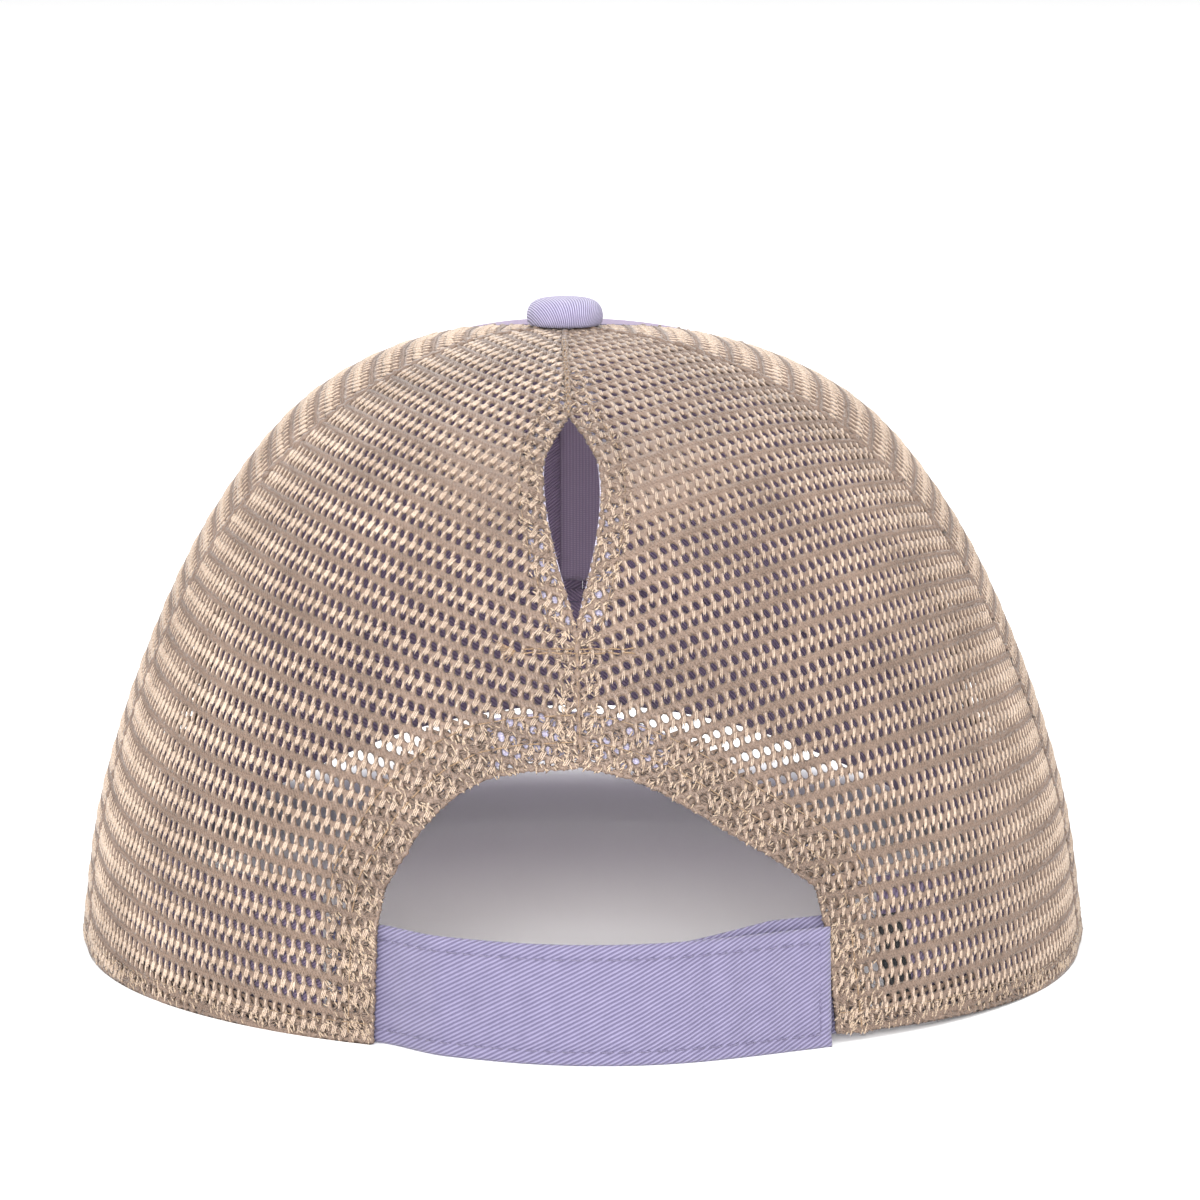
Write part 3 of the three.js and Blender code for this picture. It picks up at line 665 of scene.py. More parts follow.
def settle(side, back, azimuth, turn):
    """Moves net points that fall outside the gore on to its outline, and says which were inside.

    It also gives each point's distance from the nearest hemmed edge."""
    gap = np.degrees(SEAM_GAP / 2 / np.maximum(CROWN_HALF_WIDTH * np.sin(np.radians(turn)), 1.0))
    seam = side_seam(np.clip(turn, 0, 90))
    low, high = (gap, seam - gap) if back else (seam + gap, FRONT_SEAM - gap)
    inside = (azimuth > low) & (azimuth < high) & (turn > TOP_TURN)
    azimuth = np.clip(azimuth, low, high)
    turn = np.maximum(turn, TOP_TURN)
    height = crown(side * azimuth, turn)[:, 2]
    rim = rim_height(side * azimuth)
    below = height < rim
    inside &= ~below
    turn[below] = turn_at_height(side * azimuth[below], rim[below])
    height = np.maximum(height, rim)
    hem = (height - rim) / RIM_HEM
    radius = np.linalg.norm(crown(side * azimuth, turn)[:, :2], axis=1)
    hem = np.minimum(hem, np.radians(np.abs(azimuth - (high if back else low))) * radius / SIDE_SEAM_HEM)
    if not back:
        return azimuth, turn, inside, hem
    sideways = side * (crown(side * azimuth, turn)[:, 0] - seam_x(height))
    hem = np.minimum(hem, np.maximum(sideways, 0) / CENTRE_SEAM_HEM)
    flat = np.stack([sideways, height], -1)
    for kind, width in (("slit", SLIT_HEM), ("arch", ARCH_HEM)):
        line = outline(side, kind)
        spot, distance = nearest_on(flat, line)
        width = np.interp(spot[:, 1], (STRAP_WIDTH, STRAP_WIDTH + 10), (OPENING_HEM, width)) \
            if kind == "arch" else width
        bare = (kind == "arch") & (sideways < TAPE_SHOWS) & (height > ARCH_HEIGHT - 2)
        hem = np.where(bare, np.maximum(hem, 1), np.minimum(hem, distance / width))
        half = slit_half(height) if kind == "slit" else arch_half(height, side)
        reach = (height > SLIT_BOTTOM) & (height < SLIT_TOP) if kind == "slit" else height < ARCH_HEIGHT
        cut = reach & (sideways < half)
        if cut.any():
            moved = azimuth_at_side(side * np.maximum(spot[cut, 0], SEAM_GAP / 2), spot[cut, 1])
            azimuth[cut] = side * moved
            turn[cut] = turn_at_height(moved, np.maximum(spot[cut, 1], rim_height(moved)))
            inside &= ~cut
    return azimuth, turn, inside, hem


FLANK_SIDE = 13.0
FLANK_REACH = 12.0
FLANK_HEIGHT = 86.0
FLANK_RISE = 7.0
FLANK_CLOSING = 0.88
RIM_HEM = 3.2
SIDE_SEAM_HEM = 3.6
CENTRE_SEAM_HEM = 4.8
SLIT_HEM = 4.6
ARCH_HEM = 7.8
OPENING_HEM = 4.6
TAPE_SHOWS = 15.0
HOLE_SHAPE = ((-0.74, -0.7), (0, -1), (0.74, -0.7), (1, 0), (0.74, 0.7), (0, 1), (-0.74, 0.7), (-1, 0))


def net_panel(name, side, back, material, depth=0.0, phase=(0.0, 0.0), hem_only=False, hole=1.0):
    """Net cloth of one gore: staggered rows of rounded holes with yarn rounded towards each hole."""
    layout = LAYOUTS[side, back]
    rows = int(layout[0][-1] / ROW_PITCH) + 1
    columns = 2 * int(LAYOUT_REACH / HOLE_PITCH)
    way_of = lambda row: (np.asarray(row) + phase[1]) * ROW_PITCH
    across_of = lambda half: (np.asarray(half) - columns + phase[0]) * HOLE_PITCH / 2
    lean = side * np.array([0.24, 0.05])
    halves = np.arange(2 * columns + 1)
    lines = np.arange(rows + 1)

    line_way, line_across = np.meshgrid(way_of(lines), across_of(halves), indexing="ij")
    middle_way, middle_across = np.meshgrid(way_of(lines + 0.5), across_of(halves), indexing="ij")
    line = np.arange(line_way.size).reshape(line_way.shape)
    middle = line + line.size
    lattice = 2 * line.size
    row, left = np.meshgrid(np.arange(rows), np.arange(0, 2 * columns - 2, 2), indexing="ij")
    row, left = row.ravel(), (left + row % 2).ravel()
    around = np.stack([
        line[row, left], line[row, left + 1], line[row, left + 2], middle[row, left + 2],
        line[row + 1, left + 2], line[row + 1, left + 1], line[row + 1, left], middle[row, left]], -1)

    cells = len(row)
    band_side = np.where(row % 2 == 0, 1, -1) * BAND_SHIFT
    grow = hole * (1 + 0.07 * rng.standard_normal(cells))
    cell_azimuth, cell_turn = lay_net(layout, way_of(row + 0.5), across_of(left + 1))
    spot = crown(side * cell_azimuth, np.clip(cell_turn, 0, 95))
    grow *= np.interp(cell_turn, (20, 60), (0.86, 1.0))
    if back:
        flank = ((np.abs(spot[:, 0] - seam_x(spot[:, 2])) - FLANK_SIDE) / FLANK_REACH) ** 2
        flank += ((spot[:, 2] - FLANK_HEIGHT) / FLANK_RISE) ** 2
        grow *= 1 - FLANK_CLOSING * np.exp(-flank)
    centre_way = way_of(row + 0.5) + band_side + 0.05 * rng.standard_normal(cells)
    centre_across = across_of(left + 1) + 0.05 * rng.standard_normal(cells)
    shape = np.array(HOLE_SHAPE)
    lean = lean[row % 2]
    hole_way = centre_way[:, None] + grow[:, None] * HOLE_HALF_HEIGHT * shape[:, 1]
    hole_across = (centre_across[:, None] + grow[:, None] * HOLE_HALF_WIDTH * shape[:, 0]
                   - lean[:, None] * HOLE_HALF_HEIGHT * shape[:, 1])
    all_way = np.concatenate([line_way.ravel(), middle_way.ravel()])
    all_across = np.concatenate([line_across.ravel(), middle_across.ravel()])
    shoulder_way = 0.5 * hole_way + 0.5 * all_way[around]
    shoulder_across = 0.5 * hole_across + 0.5 * all_across[around]

    way = np.concatenate([all_way, shoulder_way.ravel(), hole_way.ravel()])
    across = np.concatenate([all_across, shoulder_across.ravel(), hole_across.ravel()])
    azimuth, turn = lay_net(layout, way, across)
    first, last = (-6, 88) if back else (50, FRONT_SEAM + 6)
    wide = side_seam(np.clip(turn[:lattice], 0, 90)) + 6 if back else last
    near = (azimuth[:lattice] > first) & (azimuth[:lattice] < wide) & (turn[:lattice] < 93)
    keep = near[around].any(1)
    shoulder = lattice + np.arange(8 * cells).reshape(cells, 8)[keep]
    rim, around = shoulder + 8 * cells, around[keep]
    used = np.unique(np.concatenate([around, shoulder, rim]))
    hem = np.full(len(way), 9.0)
    inside = np.zeros(len(way), bool)
    azimuth[used], turn[used], inside[used], hem[used] = settle(side, back, azimuth[used], turn[used])
    keep = inside[around].sum(1) >= 2
    if hem_only:
        keep &= hem[around].min(1) < 1
    around, shoulder, rim = around[keep], shoulder[keep], rim[keep]
    depths = depth + np.repeat((CREST_DEPTH, SHOULDER_DEPTH, HOLE_DEPTH), (lattice, 8 * cells, 8 * cells))
    front = crown(side * azimuth, turn, depths)
    behind = crown(side * azimuth[:lattice], turn[:lattice], BACK_DEPTH + depth)
    points = np.concatenate([front, behind])
    behind_start = len(front)

    faces = []
    after = np.roll(np.arange(8), -1)
    for outer, inner in ((around, shoulder), (shoulder, rim), (rim, around + behind_start)):
        faces.append(np.stack([outer, outer[:, after], inner[:, after], inner], -1).reshape(-1, 4))
    edges = np.stack([around, around[:, after]], -1).reshape(-1, 2)
    key = np.sort(edges, axis=1)
    _, where, uses = np.unique(key, axis=0, return_inverse=True, return_counts=True)
    border = edges[uses[where.ravel()] == 1]
    far_edge = border + behind_start
    faces.append(np.stack([border[:, 1], border[:, 0], far_edge[:, 0], far_edge[:, 1]], -1))
    if side < 0:
        faces = [face[:, ::-1] for face in faces]
    return add_mesh(name, points, [np.concatenate(faces)], material)


def net_strands(name, side, back, material, kind, depth=0.0):
    """Yarn strands that lie over the net: loops across every second row, plies on the bands, bars."""
    first_row, every, shift, count, width, length, slant, rise = STRANDS[kind, side]
    if kind == "bar" and not back:
        count, width = 1, SIDE_BAR_WIDTH
    layout = LAYOUTS[side, back]
    rows = int(layout[0][-1] / ROW_PITCH) + 1
    columns = 2 * int(LAYOUT_REACH / HOLE_PITCH)
    row, half = np.meshgrid(np.arange(first_row, rows, every), np.arange(0, 2 * columns, 2), indexing="ij")
    row, half = row.ravel(), (half + (row % 2 if kind == "bar" else 0)).ravel()
    way = (row + shift) * ROW_PITCH + 0.07 * rng.standard_normal(row.size)
    across = (half - columns) * HOLE_PITCH / 2 + 0.05 * rng.standard_normal(row.size)
    spacing = HOLE_PITCH / count if kind == "ply" else width * 1.8
    offsets = (np.arange(count) - (count - 1) / 2) * spacing
    way, across = np.repeat(way, count), (across[:, None] + offsets).ravel()
    length = length * (1 + 0.1 * rng.standard_normal(len(way)))
    slant = slant + 0.06 * rng.standard_normal(len(way))
    lift = np.array([0.1, 0.06, -rise, 0.06, 0.06, -rise, 0.06, 0.1]) + depth
    point_way = way[:, None] + length[:, None] * SPINDLE_ALONG
    lean = side * (slant * length)[:, None] * SPINDLE_ALONG
    point_across = across[:, None] + width * SPINDLE_ACROSS + lean
    azimuth, turn = lay_net(layout, point_way.ravel(), point_across.ravel())
    wide = side_seam(np.clip(turn, 0, 90)) if back else FRONT_SEAM
    inside = (azimuth > (0 if back else 55)) & (azimuth < wide) & (turn < 90)
    azimuth[inside], turn[inside], inside[inside], _ = settle(side, back, azimuth[inside], turn[inside])
    points = crown(side * azimuth, turn, np.tile(lift, len(way)))
    faces = spindle_faces(np.flatnonzero(inside.reshape(-1, 8).all(1)))
    if side > 0:
        faces = [face[:, ::-1] for face in faces]
    return add_mesh(name, points, faces, material)


# Strands: first row, rows between, shift down in rows, count, half width, length, slant, rise
STRANDS = {
    ("loop", 1): (1, 2, 0.03, 3, 0.16, 2.15, 0.34, 0.24),
    ("loop", -1): (1, 2, 0.03, 2, 0.15, 2.05, 0.3, 0.22),
    ("ply", 1): (0, 2, 0.0, 3, 0.17, 0.95, -0.55, 0.12),
    ("ply", -1): (0, 2, 0.0, 3, 0.17, 0.95, -0.5, 0.12),
    ("bar", 1): (0, 1, 0.5, 2, 0.1, 1.9, 0.2, 0.1),
    ("bar", -1): (0, 1, 0.5, 2, 0.1, 1.9, 0.16, 0.1),
}

# Half width of a bar on the side panels, where each bar is one strand
SIDE_BAR_WIDTH = 0.16

LAYOUTS = {(side, back): gore_layout(side, back) for side in (1, -1) for back in (True, False)}
nets = {}
# Each gore gets its net, a hem layer and three kinds of strands: loops and bars take the lighter loop yarn,
# whose colour is painted highlight; plies take the plain net yarn.
for word, side in (("left", 1), ("right", -1)):
    for place, back in (("back", True), ("side", False)):
        panel = net_panel(f"{place}_net_{word}", side, back, NET)
        hem = net_panel(f"{place}_hem_{word}", side, back, NET, HEM_LAYER_DEPTH, (0.9, 0.45), True, 0.9)
        strands = [net_strands(f"{place}_net_{kind}_{word}", side, back, material, kind)
                   for kind, material in (("loop", LOOP_HIGHLIGHT), ("ply", NET), ("bar", LOOP_HIGHLIGHT))]
        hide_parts(f"{place}_panel_{word}")
        nets[place, word] = (panel, [hem, *strands])


# Edges, seams and stitches of the net

def on_crown(side, sideways, height, depth=0.0):
    azimuth = azimuth_at_side(side * np.maximum(sideways, SEAM_GAP / 2), height)
    return crown_at_height(azimuth, np.maximum(height, rim_height(azimuth)), depth)


def cord(points, radius=0.42, pitch=1.7):
    """Folded net edge: a rounded line with a knuckle at each loop."""
    points = even(points, 0.42)
    way = np.arange(len(points)) * 0.42
    swell = radius * (1 + 0.28 * np.sin(2 * np.pi * way / pitch) + 0.1 * rng.standard_normal(len(way)))
    points = points + 0.1 * rng.standard_normal(points.shape)
    return tube(points, swell, 5)


def offset(line, distance):
    """An outline that runs down from the top of its opening, moved outward from it by a distance."""
    ahead = np.gradient(line, axis=0)
    ahead /= np.linalg.norm(ahead, axis=1)[:, None] + 1e-9
    return line + distance * np.stack([-ahead[:, 1], ahead[:, 0]], -1)


for word, side in (("left", 1), ("right", -1)):
    arch, slit = outline(side, "arch"), outline(side, "slit")
    edges = [cord(on_crown(side, line[:, 0], line[:, 1], 0.35)) for line in (arch, slit)]
    seam = side_seam(90)
    low = abs(float(azimuth_at_side(side * ARCH_HALF[side], 0.0)))
    rim_azimuth = side * np.linspace(low, FRONT_SEAM, 240)
    edges.append(cord(crown_at_height(rim_azimuth, rim_height(rim_azimuth) + 0.4, 0.4)))
    edge = add_mesh(f"net_edge_{word}", *join(edges), NET)

    threads = []
    for distance in (3.8, ARCH_HEM):
        line = offset(arch, distance)
        line = line[(line[:, 1] > STRAP_WIDTH + 1) & (line[:, 0] > 0.4)]
        threads += stitches(on_crown(side, line[:, 0], line[:, 1], -0.12), 2.6, 2.2, 0.14)
    line = offset(slit, 3.4)
    line = line[line[:, 0] > 0.6]
    threads += stitches(on_crown(side, line[:, 0], line[:, 1], -0.1), 2.6, 2.0, 0.12)
    height = np.linspace(1, STRAP_WIDTH, 30)
    line = np.stack([arch_half(height, side) + 3.6, height], -1)
    threads += stitches(on_crown(side, line[:, 0], line[:, 1], -0.1), 2.6, 2.0, 0.13)
    rim_line = crown_at_height(rim_azimuth, rim_height(rim_azimuth) + RIM_HEM, -0.1)
    threads += stitches(rim_line, 2.8, 2.2, 0.12)
    sewn = add_mesh(f"net_stitches_{word}", *join(threads), NET_THREAD)
    nets["back", word][1].extend([edge, sewn])

seam_parts = []
for top, bottom in ((CROWN_HEIGHT - 0.15, SLIT_TOP - 0.3), (SLIT_BOTTOM + 0.3, ARCH_HEIGHT)):
    height = np.linspace(top, bottom, 60)
    line = crown_at_height(np.zeros(60), height, 0.25)
    seam_parts.append(cord(line, 0.5, 2.2))
back_seam = add_mesh("back_seam", *join(seam_parts), NET)
seam_line = crown_at_height(np.zeros(50), np.linspace(SLIT_BOTTOM, ARCH_HEIGHT, 50), -0.25)
tack_parts = []
tack_side = np.linspace(-9.5, 10.5, 60)
for rise in (-0.3, 0.3):
    tack_height = SLIT_BOTTOM - 2.4 + rise + 0.12 * np.sin(tack_side * 2.1 + 3 * rise)
    tack = crown_at_height(azimuth_at_side(tack_side, tack_height), tack_height, -0.12)
    tack_parts += stitches(tack, 2.3, 2.1, 0.15)
for fray in np.linspace(-1, 1, 9):
    ends = np.array([[9.6, 0.0], [12.0 + fray, 1.6 * fray]]) + [0, SLIT_BOTTOM - 2.4]
    azimuth = azimuth_at_side(ends[:, 0], ends[:, 1])
    tack_parts.append(tube(even(crown_at_height(azimuth, ends[:, 1], -0.1), 0.8), 0.07, 4))
tack_parts += stitches(seam_line, 2.4, 2.1, 0.13)
for sway in (0.32, -0.32):
    above_slit = crown_at_height(np.zeros(90), np.linspace(CROWN_HEIGHT - 0.6, SLIT_TOP, 90), -0.3)
    above_slit[:, 0] += sway * np.sin(np.linspace(0, 26, 90))
    tack_parts += stitches(above_slit, 1.3, 1.15, 0.17)
back_seam_stitches = add_mesh("back_seam_stitches", *join(tack_parts), NET_THREAD)


def hem_yarn(name, side, material, share, lift, lean):
    """Tangled yarn over the doubled edges of one side: slit, arch, strap opening, rim and back seam."""
    strands = []
    for kind, wide, dense in (("arch", ARCH_HEM, 1.5), ("slit", SLIT_HEM, 2.0)):
        line = even(outline(side, kind), 0.2)
        count = int(len(line) * 0.2 * wide * dense * share)
        pick = rng.integers(0, len(line), count)
        out = offset(line, 1.0) - line
        away = wide * rng.random(count) ** 1.3 - 0.25
        place = line[pick] + away[:, None] * out[pick]
        strands.append(place[(place[:, 0] > 0.3) & (place[:, 1] > 1)])
    low = arch_half(np.linspace(1, STRAP_WIDTH, 60), side)
    count = int(OPENING_HEM * STRAP_WIDTH * 2.2 * share)
    height = 1 + (STRAP_WIDTH - 1) * rng.random(count)
    strands.append(np.stack([np.interp(height, np.linspace(1, STRAP_WIDTH, 60), low)
                             + OPENING_HEM * rng.random(count), height], -1))
    for top, bottom in ((100.0, SLIT_TOP), (SLIT_BOTTOM, ARCH_HEIGHT)):
        count = int((top - bottom) * 3.0 * 2.4 * share)
        sideways = 0.3 + 3.0 * rng.random(count)
        strands.append(np.stack([sideways, bottom + (top - bottom) * rng.random(count)], -1))
    flat = np.concatenate(strands)
    azimuth = azimuth_at_side(side * flat[:, 0], flat[:, 1])
    turn = turn_at_height(azimuth, np.maximum(flat[:, 1], rim_height(azimuth)))
    low = abs(float(azimuth_at_side(side * ARCH_HALF[side], 0.0)))
    count = int((FRONT_SEAM - low) * 1.5 * RIM_HEM * 1.5 * share)
    around = side * (low + (FRONT_SEAM - low) * rng.random(count))
    azimuth = np.concatenate([azimuth, around])
    rim_turn = turn_at_height(around, rim_height(around) + 0.4 + (RIM_HEM - 0.4) * rng.random(count))
    turn = np.concatenate([turn, rim_turn])
    spin = side * (lean + 0.3 * rng.standard_normal(len(azimuth)))
    length = 1.0 + 0.5 * rng.random(len(azimuth))
    points, faces = loose_strands(azimuth, turn, spin, length, 0.15, 0.16, -lift)
    return add_mesh(name, points, faces, material)


# The light hem strands take the lighter hem yarn, whose colour is painted highlight on the doubled edges;
# the dark strands take the plain net yarn.
for word, side in (("left", 1), ("right", -1)):
    for name, material, share, lift, lean in (
            ("hem_yarn_painted_highlight", HEM_HIGHLIGHT, 0.5, 0.04, -1.0), ("hem_yarn_dark", NET, 0.8, 0.02, 0.5)):
        yarn = hem_yarn(f"{name}_{word}", side, material, share, lift, lean)
        nets["back", word][1].append(yarn)

FRONT_SEAM_DEPTH = 0.75
turns = np.linspace(3, 88, 120)
for word, side in (("left", 1), ("right", -1)):
    line = crown(side * side_seam(turns), turns, 0.1)
    line = line[line[:, 2] > rim_height(side * 80.0)]
    front_line = crown(side * FRONT_SEAM, turns, FRONT_SEAM_DEPTH)
    front_line = front_line[front_line[:, 2] > rim_height(side * FRONT_SEAM)]
    ridge = add_mesh(f"side_seam_{word}", *join([cord(line, 0.5, 1.9), cord(front_line, 0.75, 1.9)]), NET)
    nets["side", word][1].append(ridge)


# Twill front, tapes, sweatband

CREST_SINK = 0.7


def crest_sink(turn):
    """The cloth of the front lies a little lower round the top than its solid."""
    return CREST_SINK * np.sin(np.pi * np.clip(turn / 56, 0, 1))


def seam_dip(distance, width=1.5, deep=0.55):
    return deep * np.exp(-(distance / width) ** 2)


for word, side in (("left", 1), ("right", -1)):
    def front(u, v, depth):
        share = u
        foot = side * (FRONT_SEAM + (180 - FRONT_SEAM) * share)
        bottom = turn_at_height(foot[-1], rim_height(foot[-1]))
        turn = TOP_TURN + (bottom - TOP_TURN) * v
        azimuth = FRONT_SEAM + 0.04 + (180 - FRONT_SEAM - 0.05) * share
        radius = CROWN_HALF_WIDTH * np.sin(np.radians(turn))
        edge = np.radians(np.minimum(azimuth - FRONT_SEAM, 180 - azimuth)) * radius
        sink = crest_sink(turn)
        return crown(side * azimuth, turn, depth + sink + seam_dip(edge) * (depth < 1))

    panel = slab(f"front_twill_{word}", PANEL, front, np.linspace(0, 1, 43), np.linspace(0, 1, 47),
                 FRONT_WALL)
    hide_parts(f"front_panel_{word}")

lines = []
for side in (1, -1):
    for azimuth, way in ((FRONT_SEAM, 1), (180.0, -1)):
        radius = CROWN_HALF_WIDTH * np.sin(np.radians(turns))
        away = azimuth + way * np.degrees(2.0 / radius)
        line = crown(side * away, turns, crest_sink(turns) + 0.05)
        line = line[line[:, 2] > rim_height(side * azimuth) + 1]
        lines += stitches(line, 3.0, 2.3, 0.16)
front_stitches = add_mesh("front_stitches", *join(lines), TWILL_THREAD)


def tape_surface(side, azimuth_of, last_height, wall, width=SEAM_TAPE_WIDTH):
    def surface(u, v, depth):
        turn = SEAM_TAPE_TOP_TURN + (last_height - SEAM_TAPE_TOP_TURN) * v
        azimuth = azimuth_of(turn)
        hub = np.linalg.norm(crown(side * azimuth, turn)[..., :2] - crown(0.0, 0.0)[:2], axis=-1)
        spread = np.degrees(np.arcsin(width / 2 / hub))
        return crown(side * azimuth + u * spread, turn, wall + TAPE_GAP + depth)
    return surface


def seam_turn(side, azimuth_of, height, depth):
    turn = 60.0
    for _ in range(6):
        turn = float(turn_at_height(side * azimuth_of(turn), height, depth))
    return turn


TAPE_ROWS = np.linspace(0, 1, 60)
TAPE_COLUMNS = np.linspace(-1, 1, 7)
for name, side, azimuth_of, end, wall in (
        ("seam_tape_left", 1, side_seam, SEAM_TAPE_END, NET_WALL),
        ("seam_tape_right", -1, side_seam, SEAM_TAPE_END, NET_WALL),
        ("front_seam_tape", 1, lambda turn: 180.0 + 0 * turn, FRONT_RISE + SEAM_TAPE_END,
         FRONT_WALL + CREST_SINK),
        ("top_seam_tape", 1, lambda turn: 0.0 * turn, SLIT_TOP + SEAM_GAP, NET_WALL)):
    last = seam_turn(side, azimuth_of, end, wall + TAPE_GAP)
    surface = tape_surface(side, azimuth_of, last, wall)
    material = FRONT_TAPE if name == "front_seam_tape" else TAPE
    piece = slab(f"{name}_cloth", material, surface, TAPE_COLUMNS, TAPE_ROWS, TAPE_WALL)
    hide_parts(name)

for word, side in (("left", 1), ("right", -1)):
    def slit_tape(u, v, depth):
        height = SLIT_TOP - 1 - (SLIT_LENGTH - 2) * v
        edge = np.maximum(SEAM_GAP, slit_half(height) - LAYER_GAP)
        azimuth = azimuth_at_side(side * (edge + u * SLIT_TAPE_WIDTH), height)
        return crown_at_height(azimuth, height, NET_WALL + TAPE_GAP + depth)

    piece = slab(f"slit_tape_{word}_cloth", TAPE, slit_tape, np.linspace(0, 1, 6), np.linspace(0, 1, 40),
                 TAPE_WALL)
    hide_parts(f"slit_tape_{word}")


def arch_line():
    """Arch outline over both sides, signed sideways, from the top of the strap on the left to the right."""
    start = STRAP_WIDTH + ARCH_TAPE_RISE
    left, right = (outline(side, "arch") for side in (1, -1))
    left, right = left[left[:, 1] > start][::-1], right[right[:, 1] > start]
    return even(np.concatenate([left, (right * [-1, 1])[1:]]), 1.0)


ARCH_LINE = arch_line()


def arch_tape(u, v, depth):
    way = np.linspace(0, 1, len(ARCH_LINE))
    ahead = np.gradient(ARCH_LINE, axis=0)
    ahead /= np.linalg.norm(ahead, axis=1)[:, None]
    at = lambda values: np.interp(u, way, values)
    out = 0.9 + (ARCH_TAPE_WIDTH - 0.9) * v
    sideways = at(ARCH_LINE[:, 0]) + at(ahead[:, 1]) * out
    height = at(ARCH_LINE[:, 1]) - at(ahead[:, 0]) * out
    sideways = np.where(np.abs(sideways) < 0.05, 0.05, sideways)
    azimuth = azimuth_at_side(sideways, height)
    return crown_at_height(azimuth, height, NET_WALL + TAPE_GAP + depth)


piece = slab("arch_tape_cloth", TAPE, arch_tape, np.linspace(0, 1, 90), np.linspace(0, 1, 7), TAPE_WALL)
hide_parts("arch_tape")

band_start = float(azimuth_at_side(ARCH_LEFT + SWEATBAND_LEFT_WAY, 0.0))
band_end = 360 + float(azimuth_at_side(-ARCH_RIGHT - SWEATBAND_RIGHT_WAY, 0.0))
BAND_DEPTH = FRONT_WALL + LAYER_GAP


def band(u, v, depth):
    azimuth = band_start + (band_end - band_start) * u
    height = rim_height(azimuth) + LAYER_GAP + (SWEATBAND_HEIGHT - LAYER_GAP) * v
    ripple = 0.25 * np.sin(azimuth * 0.9) * np.sin(np.pi * v)
    return crown_at_height(azimuth, height, BAND_DEPTH + depth + np.abs(ripple))


sweatband = slab("sweatband_cloth", BAND, band, np.linspace(0, 1, 170), np.linspace(0, 1, 10),
                 SWEATBAND_WALL)
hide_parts("sweatband")


# A black pile sheet just behind the right net, by the right end of the sweatband: painted shade, a dark
# sheet put where the gap behind the net lies in shadow.
SHADOW_GAP_START, SHADOW_GAP_END = -33.0, -36.9
SHADOW_GAP_LOW, SHADOW_GAP_HIGH = 3.0, 18.5


def shadow_gap_sheet(u, v, depth):
    azimuth = SHADOW_GAP_START + (SHADOW_GAP_END - SHADOW_GAP_START) * u
    return crown_at_height(azimuth, SHADOW_GAP_LOW + (SHADOW_GAP_HIGH - SHADOW_GAP_LOW) * v, NET_WALL + depth)


shadow_gap_cloth = slab("painted_shadow_gap", PILE, shadow_gap_sheet, np.linspace(0, 1, 8), np.linspace(0, 1, 14), 0.5)
around_band = np.linspace(band_start + 2, band_end - 2, 400)
band_line = crown_at_height(around_band, rim_height(around_band) + SWEATBAND_HEIGHT - 2.4,
                            BAND_DEPTH + SWEATBAND_WALL + 0.25)
band_stitches = add_mesh("sweatband_stitches", *join(stitches(band_line, 3.0, 2.4, 0.15)), TWILL_THREAD)


# Visor

VISOR_REACH = FRONT_REACH + VISOR_LENGTH
STITCH_ROWS = (0.12, 0.24, 0.36, 0.48, 0.6, 0.72, 0.84, 0.95)


def visor_edge(share):
    side = np.array(VISOR_SIDE) * VISOR_HALF_WIDTH
    ahead = np.array(VISOR_AHEAD) * -VISOR_REACH
    corner = np.stack([side, ahead], -1)
    line = np.concatenate([corner[::-1], (corner * [-1, 1])[1:]])
    knots = np.arange(len(line))
    fine = np.linspace(0, len(line) - 1, 700)
    smooth = np.stack([spline(knots, line[:, k], fine) for k in (0, 1)], -1)
    way = np.concatenate([[0], np.cumsum(np.linalg.norm(np.diff(smooth, axis=0), axis=1))])
    at = share * way[-1]
    return np.stack([np.interp(at, way, smooth[:, k]) for k in (0, 1)], -1)


def spline(knots, values, at):
    """Catmull-Rom curve through values at whole-numbered knots."""
    padded = np.concatenate([[2 * values[0] - values[1]], values, [2 * values[-1] - values[-2]]])
    k = np.clip(np.floor(at).astype(int), 0, len(knots) - 2)
    f = at - k
    a, b, c, d = (padded[k + j] for j in range(4))
    return b + f * ((c - a) / 2 + f * (a - 2.5 * b + 2 * c - d / 2 + f * (1.5 * (b - c) + (d - a) / 2)))


def visor(u, v, depth):
    azimuth = 180 + (2 * u - 1) * VISOR_HALF_ANGLE
    rim = crown_at_height(azimuth, rim_height(azimuth), -LAYER_GAP)
    rim[..., 2] = np.maximum(0, rim[..., 2] - VISOR_EDGE_DROP)
    edge = visor_edge(u)
    crest = VISOR_CREST * (1 - np.minimum(1, np.abs(edge[..., 0]) / VISOR_HALF_WIDTH) ** 2)
    tip = np.concatenate([edge, crest[..., None]], -1)
    point = rim + (tip - rim) * v[..., None]
    groove = sum(np.exp(-((v - row) / 0.009) ** 2) for row in STITCH_ROWS) * 0.3
    middle = VISOR_THICKNESS / 2
    lift = VISOR_THICKNESS - depth
    point[..., 2] += lift - groove * np.sign(lift - middle)
    return point


GROOVE_STEPS = np.array([-0.012, -0.005, 0, 0.005, 0.012])
grooves = [row + GROOVE_STEPS for row in STITCH_ROWS]
rows = np.unique(np.concatenate([np.linspace(0, 1, 21), *grooves]))
visor_cloth = slab("visor_cloth", PANEL, visor, np.linspace(0, 1, 81), rows, VISOR_THICKNESS, 0.3)
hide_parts("visor")
lines = []
for row in STITCH_ROWS:
    along = np.linspace(0.01, 0.99, 400)
    for depth in (0.2, VISOR_THICKNESS - 0.2):
        line = visor(along, np.full(400, row), depth)
        lines += stitches(line, 3.0, 2.4, 0.16)
visor_stitches = add_mesh("visor_stitches", *join(lines), TWILL_THREAD)


# Button

